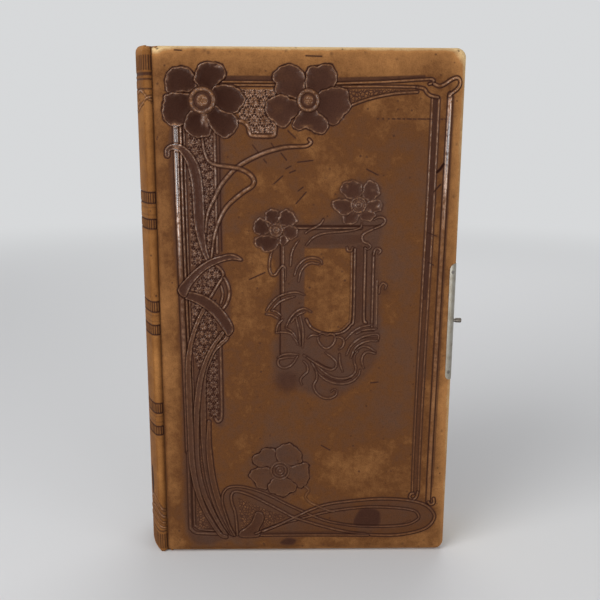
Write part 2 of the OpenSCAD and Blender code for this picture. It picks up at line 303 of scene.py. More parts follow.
# %% [markdown]
# The plan's lowest layer only measures and blends: how far each spot lies from a drawn line, what an
# outline holds, and how a new form covers what is there. Brushes in sculpt mode could do it too, but
# a distance gives every line the same round section and soft edge, and it can be drawn again.

# %% The plan as a raster
class Raster:
    """Height in mm; dye, which is ink above 1; crest, burnished above 2; rub, grimy below 0; punch. A little
    painted shade and highlight also rides in dye, crest and rub.
    """

    STEP = 0.25
    AFAR = 99.0

    def __init__(self, wide, tall):
        self.wide, self.tall = wide, tall
        self.u = np.arange(0, wide + self.STEP, self.STEP)
        self.v = np.arange(0, tall + self.STEP, self.STEP)
        shape = (len(self.u), len(self.v))
        self.height, self.dye, self.crest, self.rub, self.punch = (np.zeros(shape) for _ in range(5))

    def window(self, low, high, axis):
        """The spots of one axis between two places."""
        first = max(int(low / self.STEP), 0)
        return slice(first, max(min(int(high / self.STEP) + 2, len(axis)), first))

    def near(self, path, reach):
        """Distance from each spot to the path, where within reach, and how far along the path it is."""
        gap = np.full(self.height.shape, self.AFAR)
        along = np.zeros(self.height.shape)
        steps = np.hypot(*np.diff(path, axis=0).T)
        run = np.concatenate([[0.0], np.cumsum(steps)]) / max(steps.sum(), 1e-6)
        for a, b, s, e in zip(path, path[1:], run, run[1:]):
            i = self.window(min(a[0], b[0]) - reach, max(a[0], b[0]) + reach, self.u)
            j = self.window(min(a[1], b[1]) - reach, max(a[1], b[1]) + reach, self.v)
            du, dv = self.u[i, None] - a[0], self.v[None, j] - a[1]
            x, y = b - a
            t = np.clip((du * x + dv * y) / max(x * x + y * y, 1e-9), 0, 1)
            far = np.hypot(du - t * x, dv - t * y)
            closer = far < gap[i, j]
            gap[i, j][closer] = far[closer]
            along[i, j][closer] = (s + t * (e - s))[closer]
        return gap, along

    def inside(self, path):
        """True where a spot lies within a closed path."""
        held = np.zeros(self.height.shape, bool)
        for (x0, y0), (x1, y1) in zip(path, np.roll(path, -1, 0)):
            j = (self.v >= min(y0, y1)) & (self.v < max(y0, y1))
            if j.any():
                edge = x0 + (self.v[j] - y0) * (x1 - x0) / (y1 - y0)
                held[:, j] ^= self.u[:, None] < edge[None, :]
        return held

    def border(self, points, reach, smooth=True):
        """Distance to a closed outline, negative inside it."""
        path = bent(points, True) if smooth else np.array(list(points) + [points[0]], float)
        return np.where(self.inside(path), -1, 1) * self.near(path, reach)[0]

    def away(self, centre):
        """Distance of every spot from one place."""
        return np.hypot(self.u[:, None] - centre[0], self.v[None, :] - centre[1])

    def oval(self, x, z, wide, tall):
        """A soft oval, 1 in its middle."""
        return np.exp(-(((self.u[:, None] - x) / wide) ** 2 + ((self.v[None, :] - z) / tall) ** 2))

    def lay(self, cover, height, dye, crest):
        """A new form over what is there, by a cover from 0 to 1."""
        self.height += cover * (height - self.height)
        self.dye += cover * (dye - self.dye)
        self.crest += cover * (crest - self.crest)
        self.punch *= 1 - cover

    def cut(self, mark, deep, dye):
        """A dyed cut into what is there, by a mark from 0 to 1."""
        self.height -= deep * mark
        self.dye = np.maximum(self.dye, dye * mark)
        self.crest *= 1 - mark
        self.punch *= 1 - mark

    def sample(self, field, x, z):
        """A field between its spots."""
        s, t = (np.clip(a / self.STEP, 0, n - 1.001) for a, n in zip((x, z), field.shape))
        i, j = s.astype(int), t.astype(int)
        s, t = s - i, t - j
        rows = [field[i + a, j] * (1 - t) + field[i + a, j + 1] * t for a in (0, 1)]
        return rows[0] * (1 - s) + rows[1] * s

    def at(self, mark, x, z):
        """A yes-or-no field at the nearest spots."""
        i, j = (np.clip(a / self.STEP, 0, n - 1).astype(int) for a, n in zip((x, z), mark.shape))
        return mark[i, j]

    def busy(self, least, spread):
        """True within spread millimetres of where the plan is steeper than least per spot."""
        slope = sum(np.abs(g) for f in (self.height, self.dye * 0.2) for g in np.gradient(f))
        mark = slope > least
        for _ in range(int(spread / self.STEP)):
            wider = mark.copy()
            wider[1:] |= mark[:-1]
            wider[:-1] |= mark[1:]
            wider[:, 1:] |= mark[:, :-1]
            wider[:, :-1] |= mark[:, 1:]
            mark = wider
        return mark


print("spots of the plan:", Raster.STEP, "mm apart")

# %% [markdown]
# On the raster work the binder's hand tools. A bead stands up, and a dished shape sinks inside a bright
# rim, each with a narrow dark cut beside it, where the tool's edge has driven the dye in. A groove is
# such a cut alone, and a dome is a plain boss. Because each form covers what lies under it, the order
# of drawing is the order of layers, as with paper cut-outs.

# %% Beads, grooves and dished shapes
class Strokes(Raster):
    BEAD_CUT, BEAD_CUT_W, BEAD_CUT_DEEP = 0.28, 0.34, 0.36
    DISH_CUT, DISH_CUT_W, DISH_CUT_DEEP = 0.6, 0.38, 0.25
    RIM_W, BLUR = 0.27, 0.15

    def bead(self, points, wide=1.4, tall=0.32, ends=(1, 1), closed=False, keep=0.8, flank=1.5, flat=2):
        """A raised round line, which keeps a share of the dye under it, with a cut along both sides."""
        gap, along = self.near(bent(points, closed), wide / 2 + 1.8)
        half = tapered(wide, ends, along, 0.3)
        body = np.clip(1 - (gap / half) ** flat, 0, 1)
        cover = ease(half + self.BLUR, half - self.BLUR, gap)
        self.lay(cover, tall * body, keep * np.minimum(self.dye, 0.6), 0.7 * body**2)
        self.cut(bell(gap - half - self.BEAD_CUT, self.BEAD_CUT_W), self.BEAD_CUT_DEEP, flank)

    def groove(self, points, wide=0.8, deep=0.25, dye=1.3, closed=False):
        gap, _ = self.near(bent(points, closed), wide / 2 + 1.2)
        self.cut(ease(wide / 2 + 0.35, wide / 2 - 0.25, gap), deep, dye)

    def dish(self, border, deep, dye, rim, bowl=1.8, flank=1.5):
        """A sunk and dyed shape with a raised rim and a dark cut outside it."""
        lip = bell(border, self.RIM_W)
        sunk = rim * lip - deep * ease(0.1, bowl, -border)
        soaked = dye * ease(-0.25, 0.4, -border)
        worn = 0.16 * np.exp(np.minimum(border, 0) / 0.9)
        self.lay(ease(0.45, 0.1, border), sunk, soaked, np.maximum(0.8 * lip, worn))
        self.cut(bell(border - self.DISH_CUT, self.DISH_CUT_W), self.DISH_CUT_DEEP * flank, flank)

    def petal(self, points, deep=0.7, dye=1.1, rim=0.34, ragged=0.0, bowl=4.6, flank=1.5):
        """A dished shape, whose edge may waver a little as hand-worked edges do."""
        u, v = self.u[:, None], self.v[None, :]
        waver = np.sin(1.15 * u + 0.5 * v) * np.sin(1.05 * v - 0.35 * u)
        waver = waver + 0.35 * np.sin(2.9 * u - 1.1 * v) * np.sin(2.6 * v + 0.4 * u)
        self.dish(self.border(points, 5.0) + ragged * waver, deep, dye, rim, bowl, flank)

    def ribbon(self, points, wide, deep=0.22, dye=0.8, rim=0.28, ends=(0.3, 0.3)):
        """A dished band along a line."""
        gap, along = self.near(bent(points), wide / 2 + 2.0)
        self.dish(gap - tapered(wide, ends, along, 0.35), deep, dye, rim)

    def dome(self, centre, radius, tall):
        gap = self.away(centre) / radius
        self.lay(ease(1.15, 0.9, gap), tall * np.clip(1 - gap**2, 0, 1), 0.3, np.clip(1 - gap, 0, 1))


print("strokes leave a cut", Strokes.BEAD_CUT_DEEP, "mm deep beside a bead")

# %% [markdown]
# The last layer sets grounds and marks of use. A ground is a stain, a field of pointed petals from a
# small stamp, or fine punching, which is too small for this raster and is left to the finish. Use
# shows as soft ovals: dye that is thicker or rubbed off, light or grimy patches, burnished beads. A few
# of these ovals paint light and shade instead: a highlight on the head roll, shade by the joint and in
# the hearts of the large flowers.

# %% Grounds and marks of use
def pointed(far, turn, pitch, start, length, wide):
    """1 on pointed petals that lie along rays from their knots, in shares of the pitch."""
    along, aside = far * np.cos(turn) / pitch, far * np.sin(turn)
    half = wide * pitch * np.sin(math.pi * np.clip((along - start) / length, 0, 1))
    return ease(0.12, -0.16, aside - half)


class ToolingPlan(Strokes):
    ROW = 0.866

    def stain(self, points, amount, soft=1.5, sink=0.0, grime=0.0):
        mark = ease(soft, -soft, self.border(points, soft + 1.0))
        self.dye = np.maximum(self.dye, amount * mark)
        self.height -= sink * mark
        if grime:
            self.rub -= grime * ease(2.4 * soft, -2.4 * soft, self.border(points, 2.4 * soft + 1.0))

    def punched(self, points, amount):
        """A sunk ground for the small round punch, whose bosses the leather's finish draws."""
        soft = ease(0.2, -0.4, self.border(points, 1.5, smooth=False))
        self.lay(soft, -0.14, 0.5, 0.0)
        self.punch = np.maximum(self.punch, amount * soft)

    def rosettes(self, points, pitch, shine, filled):
        """A ground of pointed petals, six about each knot, in staggered rows, and more between them."""
        soft = ease(0.2, -0.4, self.border(points, 1.5, smooth=False))
        far = np.full(self.height.shape, self.AFAR)
        angle = np.zeros(self.height.shape)
        row = self.ROW * pitch
        u = self.u[:, None] + 0.3 * np.sin(0.8 * self.v[None, :])
        v = self.v[None, :] + 0.3 * np.sin(0.9 * self.u[:, None])
        for shift in (0, 1):
            du = u - (np.round(u / pitch - shift / 2) + shift / 2) * pitch
            dv = v - (np.round((v / row - shift) / 2) * 2 + shift) * row
            closer = np.hypot(du, dv) < far
            far = np.where(closer, np.hypot(du, dv), far)
            angle = np.where(closer, np.arctan2(dv, du), angle)
        turn = np.arccos(np.abs(np.cos(3 * angle))) / 3
        raised = pointed(far, turn, pitch, 0.08, 0.42, 0.088)
        raised = np.maximum(raised, pointed(far, math.pi / 6 - turn, pitch, 0.24, 0.32, filled))
        self.lay(soft, -0.25 + 0.4 * raised, 1.4 - 1.15 * raised, shine * raised)

    def stipple(self, centre, inner, outer, amount):
        """Fine punch marks on a ring."""
        far = self.away(centre)
        marks = amount * ease(inner - 0.2, inner + 0.2, far)
        self.punch = np.maximum(self.punch, marks * ease(outer + 0.2, outer - 0.2, far))

    def deepen(self, x, z, wide, tall, amount):
        """More dye on one spot, only where the dye is already thick; at the large flowers' hearts it is
        painted shade of the dished petals.
        """
        self.dye += amount * self.oval(x, z, wide, tall) * ease(0.7, 0.9, self.dye)

    def wear(self, x, z, wide, tall, amount):
        """Dye rubbed away on one spot."""
        self.dye *= 1 - amount * self.oval(x, z, wide, tall)
        self.crest = np.maximum(self.crest, 0.6 * amount * self.oval(x, z, wide, tall))

    def patch(self, x, z, wide, tall, amount):
        """Light leather on one spot, or grime where the amount is negative; a few spots paint a highlight or
        a shade instead.
        """
        self.rub += amount * self.oval(x, z, wide, tall)

    def burnish(self, x, z, wide, tall, amount):
        """Crests rubbed to a shine on one spot, or dulled where the amount is negative."""
        self.crest *= 1 + amount * self.oval(x, z, wide, tall)


front = ToolingPlan(COVER_W, COVER_H)
print("front plan:", front.height.shape, "spots of", front.STEP, "mm")

# %% [markdown]
# The frame comes first, because stems and flowers lie over it. Dye is wiped into the ground of the
# borders before the beads are drawn, which is why the plain panel stays lighter than the borders.

# %% Dyed grounds under the ornament
LEFT_FIELD = [(11.5, 241), (36, 241), (36.5, 170), (40, 160), (40, 140), (36, 128), (36, 80), (28, 78),
              (29, 40), (36, 20), (38, 10), (15, 10.5), (13, 80), (12, 160)]
LOOP_FIELD = [(34, 30), (37, 40), (46, 41), (62, 35), (80, 27), (100, 31), (125, 33.5), (150, 30), (156, 23),
              (150, 13), (133, 10), (105, 11), (60, 10.5), (40, 9.5)]
MOTIF_FIELD = [(53, 190), (57, 197), (72, 198), (77, 191), (96, 193), (98, 206), (106, 213), (118, 211),
               (121, 198), (121, 186), (119, 176), (121, 150), (121, 122), (114, 107), (98, 94), (86, 96),
               (76, 100), (65, 104), (64, 118), (66, 138), (61, 148), (66, 160), (62, 176)]
# The grounds are also turned greyer brown, most of all under the small frame.
front.stain(LEFT_FIELD, 0.42, 1.0, grime=0.35)
front.stain(LOOP_FIELD, 0.34, 2.0, grime=0.35)
front.stain(MOTIF_FIELD, 0.34, 1.6, sink=0.1, grime=0.5)
front.stain(ring((67, 51), 16.5), 0.2, 2.5, grime=0.35)
front.stain(ring((71, 104), 6.5), 0.85, 4.0)
PORTRAIT = [(80, 177.5), (80, 141), (82.5, 134.5), (88, 131.2), (96, 131), (102, 133), (105.8, 139),
            (106, 177.5)]
window_in = front.border(PORTRAIT, 3.0, smooth=False)
front.lay(ease(0.6, -0.6, window_in), 0.06, 0.0, 0.0)
front.rub += 0.5 * ease(0.6, -0.6, window_in)
print("dyed grounds cover", f"{(front.dye > 0.2).mean():.0%}", "of the cover")

# %% [markdown]
# The frame is built of beads: three down the left side, two of which run on and turn at the tail, and
# a dyed channel between two beads down the right side, with a flat ridge beyond it. A bead could be a
# curve with a round bevel, but then it would lie on the leather, while these are pushed up out of it.

# %% Frame lines of the front cover
for x0, x1, wide, flat in ((13.6, 15.3, 2.5, 4), (16.1, 17.8, 1.1, 2), (17.9, 19.3, 0.8, 2)):
    line = [(x0, 241), (x0 + 0.2, 200), ((x0 + x1) / 2, 150), (x1, 100), (x1 + 0.3, 62)]
    front.bead(line, wide, 0.36, flat=flat)
front.bead([(15.7, 62), (15.8, 20), (16.3, 15), (18.8, 12.6), (24, 12), (34, 11.6)], 1.5, 0.34)
front.bead([(18.2, 62), (18.2, 21), (18.8, 17), (20.6, 15), (24, 14.2), (31, 13.8)], 0.9, 0.3)
front.stain([(12.8, 148), (15.8, 148), (17, 62), (17, 20), (14.8, 20), (14.6, 62)], 0.62, 0.6)
front.bead([(33.5, 237), (33.6, 205), (33.8, 175)], 1.3)
front.groove([(36, 237), (36, 200), (36.2, 176)], 1.0, 0.25, 1.2)
front.bead([(34.6, 131), (34.8, 100), (34.7, 84), (33.7, 80.6), (32.2, 80.2), (31.2, 82)], 1.3)
CHANNEL = [(146.6, 255), (146.1, 200), (145.2, 150), (144.4, 100), (144.0, 60), (144.1, 37)]
front.groove(CHANNEL[:3], 1.7, 0.28, 1.02)
front.groove(CHANNEL[2:], 1.7, 0.24, 0.62)
for side in (-1.7, 1.7):
    front.bead([(x + side, z) for x, z in CHANNEL], 0.8, 0.26, flank=1.2)
front.bead([(154, 257), (153.6, 220), (152.8, 150), (152.2, 100), (151.8, 60), (151.7, 31)], 2.2, 0.4, flat=4)
front.groove([(155.9, 256), (155.5, 210), (154.7, 130), (153.9, 40)], 0.6, 0.15, 0.75)
front.bead([(145.6, 37), (144.6, 33.6), (142.6, 32.4), (141, 33.8), (141.6, 36), (143, 36.2)], 1.1)
front.bead([(151.8, 31), (153, 29.2), (155, 30.2), (154.8, 33)], 1.1)
print("frame lines drawn; the relief spans", f"{np.ptp(front.height):.2f} mm")

# %% [markdown]
# Along the head run two short mouldings, each a dyed groove over two beads, which will end under the
# flowers. Between the flowers hangs a small tray, and the right end turns into the ridge.

# %% Mouldings along the head
front.groove([(39, 264.3), (64, 264.3)], 2.2, 0.26, 0.9)
front.bead([(38, 262.4), (65, 262.4)], 0.9, 0.28)
front.bead([(37, 260.9), (66, 260.9)], 1.0, 0.3)
front.groove([(95, 263.7), (120, 264.4), (140, 265.2)], 2.2, 0.26, 0.9)
front.bead([(95, 261.9), (120, 262.9), (140, 264.2), (144.6, 264.2), (145, 262.6), (143, 262)], 1.0, 0.3)
front.bead([(95, 260.3), (120, 260.6), (137, 260.4)], 0.9, 0.28)
front.bead([(137, 260.2), (140.4, 259.6), (142, 257.6), (144, 256.2), (147.6, 255.4)], 1.2, 0.3)
front.bead([(145.5, 262), (148, 261), (150.5, 261.7), (155, 264.6), (157.6, 265), (159, 263), (158, 260.2),
            (155, 257.6), (153.4, 256)], 1.3, 0.36)
front.bead([(43.5, 243.4), (48, 242.8), (50.6, 240.6), (51.4, 237.4), (53.4, 235.8), (63, 235.7),
            (64.4, 237.4), (64.8, 241)], 1.7, 0.4, keep=0.2)
print("mouldings drawn")

# %% [markdown]
# Behind the ornament the ground is stamped all over. Under the head and in the left border the stamp
# is a small rosette, large enough to be real relief. Elsewhere it is a fine round punch, and there
# the plan only sinks the ground a little and keeps how strongly it was punched.

# %% Punched grounds
front.rosettes([(46, 259), (66, 259), (66, 245), (63.4, 237), (53, 237), (51, 242), (46, 245)],
               5.4, 0.8, 0.07)
for ground in (
    [(19.6, 237), (32.6, 237), (32.8, 170), (30, 164), (20, 168)],
    [(18, 152), (21, 158), (27, 164), (33, 168.6), (36.6, 164), (35, 158), (30, 150), (24, 152.6)],
    [(19.6, 150), (33, 150), (33.6, 82), (28, 82), (24, 104), (19.6, 120)],
):
    front.rosettes(ground, 4.7, 0.62, 0.03)
for ground, amount in (
    ([(98, 259.2), (136, 259.2), (134, 257.6), (122, 256.4), (112, 254.4), (102, 251)], 1.0),
    ([(20.5, 104), (24, 100), (24, 42), (20.5, 42)], 0.8),
    ([(19.5, 36), (21.5, 36), (29.5, 15), (19.5, 15)], 0.75),
    ([(43.2, 34.5), (48.3, 32), (57.4, 27.6), (72, 22.4), (63, 17.9), (56.6, 14.7), (45, 14),
      (43.6, 26.5)], 0.75),
):
    front.punched(ground, amount)
front.bead([(102, 250.6), (108, 253), (116, 255.4), (126, 257.2), (137, 258)], 1.0, 0.28)
print("fine punching covers", f"{(front.punch > 0.5).mean():.1%}", "of the cover")

# %% [markdown]
# Leaves and stems are drawn from the back to the front. A ribbon is a dyed and sunk band between two
# raised rims, and a bead is a single raised line, so a stem with two edges is a narrow ribbon.

# %% Leaves and stems of the left border
front.ribbon([(29.5, 170), (27, 176), (25.2, 186), (24.6, 196), (24.3, 206), (23.4, 215), (21, 223),
              (17, 228.4), (12.5, 230), (9.3, 228.4), (9, 225.6)], 5.0, 0.3, 1.04, 0.3, (0.35, 0.35))
front.bead([(82, 234), (83, 232.4), (80, 230.6), (70, 230), (60, 227.5), (50, 223), (44, 219), (40, 215),
            (36, 210), (33, 204), (30, 198), (28.5, 192), (28, 186)], 1.9, 0.36, (0.6, 0.6))
front.bead([(27, 236), (28, 228), (30, 223), (34, 220.8), (40, 220), (46, 219), (51, 216.5), (53.5, 213),
            (52.5, 210), (48, 207), (43, 203), (39, 199), (36, 194), (33, 186), (31.5, 178), (30.5, 171)],
           1.8, 0.36, (0.6, 0.6))
for line in (
    [(38.5, 131), (38, 128), (35, 125), (31, 121), (28, 115), (25.5, 108), (24.6, 96), (24.6, 70),
     (26, 52), (28, 40), (31, 28), (35, 18), (39, 11.5)],
    [(36, 131), (31, 124), (27, 116), (23.5, 105), (21.5, 92), (20.3, 75), (20.4, 55), (23, 40), (27, 29),
     (31, 20), (36, 11)],
    [(26, 144), (23, 138), (20, 130), (18, 122), (17, 112), (17, 95), (17.2, 75), (17.7, 55), (20, 40),
     (24, 27), (29, 17), (33, 11), (36, 9.7)],
    [(27.6, 80), (27.2, 66), (28.4, 50), (30.6, 38), (34, 26), (38, 15.6), (40.2, 11)],
):
    front.ribbon(line, 2.5, 0.16, 0.62, 0.28, (0.5, 0.5))
front.bead([(32, 169), (35.6, 166), (36.8, 162.6), (34.6, 159), (31.6, 154), (29.2, 150)], 1.3)
front.bead([(37.4, 161.4), (39.4, 157), (39.8, 152), (38.4, 147.4), (36.4, 144.6)], 1.4)
front.bead([(35.6, 157), (36.4, 152), (35.2, 147.4)], 1.0)
front.petal([(13, 153.4), (17, 153.6), (25, 152), (31, 148.5), (36, 143.5), (40, 137.5), (41.4, 133),
             (39, 129.6), (37, 132.4), (33, 138.5), (28, 144), (22, 148), (16, 150.6)], 0.22, 1.06, 0.3,
            bowl=1.8)
front.petal([(46.6, 171.2), (42, 173.8), (36, 173), (29, 170.5), (22, 165.5), (16.5, 160), (12.8, 154.6),
             (16, 151.2), (18.4, 155.5), (21.4, 160), (27, 165.6), (34, 169.6), (41, 171.6)],
            0.22, 1.02, 0.3, bowl=1.8)
print("left border drawn")

# %% [markdown]
# At the tail the stems turn into one long loop that crosses itself. Two thin beads follow its outer
# and its inner edge, each in a single smooth line, so that the crossing stays fair.

# %% The knee and the long loop at the tail
front.petal([(52.4, 21.8), (53.6, 24.8), (56.2, 24.6), (57.4, 22), (56.8, 18.8), (55, 15.6), (54.2, 12.6),
             (55, 10.4), (49, 9.6), (43.8, 10.4), (44.6, 13), (47.6, 15), (50.6, 18)], 0.2, 0.78, 0.28,
            bowl=1.8)
OUTER = [(41, 10.6), (38.4, 16), (36, 24), (34.3, 31), (34.5, 36), (36.5, 39.5), (40, 41), (46, 40.8),
         (54, 38.5), (62, 35), (70, 30.5), (80, 25.5), (92, 20), (105, 17), (120, 15.7), (138, 16.5),
         (145.6, 19.6), (146.4, 22.8), (143, 25.8), (133, 27.4), (118, 28), (103, 26.6), (92, 24.6),
         (80, 21.2), (70, 18.4), (60, 14.8), (53, 11.6)]
INNER = [(42.6, 11), (41.6, 24), (39.7, 31), (39.4, 35.4), (41, 37.8), (45, 37.6), (52, 34.8), (60, 30.4),
         (68, 25.8), (75, 21.8), (84, 18.6), (92, 16), (105, 12.5), (118, 10.6), (133, 10.2), (145, 12.2),
         (152, 15.2), (155.4, 20), (155, 24), (150, 29), (140, 32), (125, 33), (110, 32), (95, 30),
         (85, 26.6), (75, 21.6), (66, 17), (57, 13)]
for line, wide in ((OUTER, 0.9), (INNER, 1.1)):
    front.bead(line, wide, 0.3, flank=1.5)
front.groove([(100, 17.6), (118, 16.4), (134, 17), (142, 19.6)], 0.5, 0.16, 0.9)
front.groove([(56, 12.1), (88, 12.1), (116, 12.0)], 1.4, 0.2, 0.8)
front.bead([(56, 10.6), (88, 10.6), (118, 10.2)], 0.8, 0.24)
print("loop drawn")

# %% [markdown]
# The two large flowers are the deepest work: five or six dyed petals, each dished inside a bright
# rim, round a domed heart with a stippled ring and seven seeds. They cover the ends of the mouldings.
# Near the heart the petals are darkened as painted shade of their dishing, and a few rims are rubbed
# bare.

# %% The two large flowers
FLOWER_A = (
    [(24.5, 260), (24, 264), (22, 267.5), (18.5, 269.2), (14.5, 269), (11, 267), (9.3, 263.5),
     (9.7, 259.5), (10.5, 257.2), (14, 257), (18, 258), (20, 257.5)],
    [(24.5, 262), (25, 267), (27.5, 271), (31, 271.5), (36.5, 271), (38.8, 268.5), (39.3, 265.5),
     (37.5, 263.2), (35, 261.5), (32, 257)],
    [(10, 256), (8.3, 252.5), (7.3, 248), (8.5, 243.5), (11.5, 241), (15, 240.5), (18.5, 242), (20, 246),
     (22, 250), (20.5, 256)],
    [(21, 247), (18.5, 241.5), (19, 238.5), (22, 236), (25, 235), (29.5, 235.5), (31.5, 237.5), (31, 243),
     (27, 248)],
    [(33, 258.5), (36, 260.3), (41, 260.6), (45.5, 259), (48.5, 255.5), (48.8, 253), (46.5, 249.5),
     (44.5, 247.3), (40, 247), (36, 248.5), (33, 250)],
    [(33.5, 250.4), (38, 247.5), (43, 246.3), (45, 243.5), (44.8, 240), (42, 236.5), (39, 234.8),
     (36, 236), (33.5, 238), (31, 242), (29.5, 247)],
)
FLOWER_B = (
    [(79.5, 262), (79, 266), (76, 269.3), (71.5, 270.8), (67.5, 269.5), (64, 266.5), (63.5, 264), (65.5, 262),
     (64.8, 259.5), (65.5, 257), (70, 256), (74, 255), (78, 254)],
    [(80.5, 260), (80.5, 266), (82, 269.5), (86, 270), (91, 271.2), (94, 269.5), (95.5, 264.5), (94.5, 261),
     (92.5, 258.5), (88, 257.5), (84, 255)],
    [(77, 252), (72, 254), (68, 256), (64, 255), (60.5, 252.5), (60, 249), (61, 245.5), (64.5, 243),
     (67, 240.5), (70.5, 241), (73, 244.5), (77, 248)],
    [(86, 256), (91, 259), (97, 259.7), (101, 258.5), (102, 254), (102.8, 250), (100, 247), (97, 243),
     (94, 241.5), (91.5, 242.5), (88, 246), (85, 250)],
    [(79, 249), (75, 244), (74, 240.5), (76.5, 239), (80.5, 240), (84.5, 238), (88, 237), (91, 239),
     (91.5, 241.5), (90, 244.5), (87, 246.5), (84, 250)],
)
for petals, dye in ((FLOWER_A, 1.16), (FLOWER_B, 0.96)):
    for outline in petals:
        front.petal(outline, dye=dye, ragged=0.26)
for centre, size in (((27.5, 253.2), 1.0), ((81.5, 253.5), 0.85)):
    # Painted shade of the dished petals, darker towards the heart.
    front.deepen(*centre, 12 * size, 12 * size, 0.26)
    front.dome(centre, 6.9 * size, 0.34)
    front.bead(ring(centre, 5.7 * size), 2.1 * size, 0.45, closed=True, keep=0.35)
    front.stipple(centre, 4.7 * size, 6.7 * size, 0.6)
    front.groove(ring(centre, 3.5 * size), 1.5 * size, 0.3, 0.95, closed=True)
    for spot in [centre] + ring(centre, 1.6 * size)[::4]:
        front.dome(spot, 0.9 * size, 0.42)
for spot in ((28.2, 245.4, 0.9, 2.6, 0.8), (29.4, 242.4, 0.8, 2.4, 0.8), (27.2, 243, 0.6, 2.0, 0.6),
             (10.2, 264, 0.6, 1.4, 0.5), (36, 269.8, 2.0, 0.5, 0.5), (98, 244.4, 1.8, 0.7, 0.5),
             (80.6, 240.8, 2.4, 0.5, 0.5), (14, 241.4, 2.4, 0.5, 0.4)):
    front.wear(*spot)
print("two flowers of", len(FLOWER_A), "and", len(FLOWER_B), "petals")

# %% [markdown]
# The flower near the tail is outlined, with little dye in its petals and more in its eye, and its stem
# runs into the loop. It is shallow, as if the plate had been worn.

# %% The outlined flower near the tail
for outline in (
    [(65.5, 56), (65.8, 60), (64, 63), (60, 64), (57, 63), (55.3, 60.5), (52.5, 59.5), (52, 57),
     (53.5, 54.5), (60, 52)],
    [(61, 52), (56, 52), (52, 51), (50, 47.5), (52.5, 44.5), (54.5, 41), (58, 39.8), (60, 40), (61.5, 43),
     (64, 47)],
    [(66.5, 56), (65, 63), (68, 65.5), (72, 66.8), (75.5, 64.5), (78, 62), (79, 58), (78.5, 55), (75, 54),
     (71, 53)],
    [(71, 52), (76, 53.5), (80, 55), (82.7, 54), (82.5, 50.5), (83, 46), (81, 42), (78, 40.5), (75.5, 43),
     (71, 47)],
    [(64, 46), (60.5, 41), (61.5, 38), (65, 36.5), (69, 35), (72, 37), (75, 38.5), (76, 41), (73.5, 44),
     (70, 46)],
):
    front.petal(outline, 0.3, 0.36, 0.26, 0.3, 3.5)
front.dome((67, 50.5), 5.6, 0.2)
for radius in (5.0, 3.4, 1.8):
    front.bead(ring((67, 50.5), radius), 0.9, 0.22, closed=True, flank=0.55)
front.stain(ring((67, 50.5), 5.0), 0.75, 1.0)
front.bead([(81, 41), (83.4, 38.6), (82, 36), (81.6, 34), (84, 31), (88, 29), (93, 26.5), (98, 25)],
           0.9, 0.24, flank=0.6)
print("outlined flower drawn")

# %% [markdown]
# In the middle of the panel a small frame, grown round with leaves, holds a bare window. Its ground
# was sunk and dyed above. Here come its bars, its leaves, and a small flower at each upper corner.

# %% The small frame: bars and window edge
front.groove([(75, 189.5), (98, 189.5), (119.5, 189.4)], 0.7, 0.25)
front.bead([(76, 188.1), (92, 188.1), (110, 188.2)], 0.9, 0.26)
front.groove([(86, 181.8), (96, 182), (108, 182.2)], 5.0, 0.1, 0.66)
front.bead([(105.2, 176), (105.2, 141), (103.4, 135.6), (99.6, 132.2), (96, 131.2)], 0.7, 0.2, flank=0.6)
front.bead([(106.8, 177), (106.8, 140.6), (105.2, 135.4), (101.6, 131.8), (96.5, 130.4), (91, 130.8),
            (86.4, 132.4), (83.2, 134.8), (81.2, 138.6)], 1.0, 0.28)
front.groove([(109.3, 178), (109.3, 150), (109, 138)], 3.0, 0.14, 0.7)
front.bead([(112.3, 177.4), (112.3, 150), (112.5, 138.4), (113.6, 136.8)], 1.2, 0.38)
front.bead([(116.8, 174.4), (116.8, 150), (116.8, 134.4)], 1.0, 0.28)
front.bead([(119, 160), (119.2, 134)], 0.8, 0.22, flank=0.6)
front.groove([(67.2, 182), (67.2, 150), (67.1, 119)], 0.9, 0.24)
front.bead([(68.8, 178), (68.8, 152)], 0.9, 0.22, flank=0.7)
print("small frame drawn")

# %% [markdown]
# Leaves, tendrils and a ribbon grow round the small frame. At this size a leaf is only its outline
# and a vein or two, so each is a thin bead that tapers to its end, and a few have a groove as a vein.

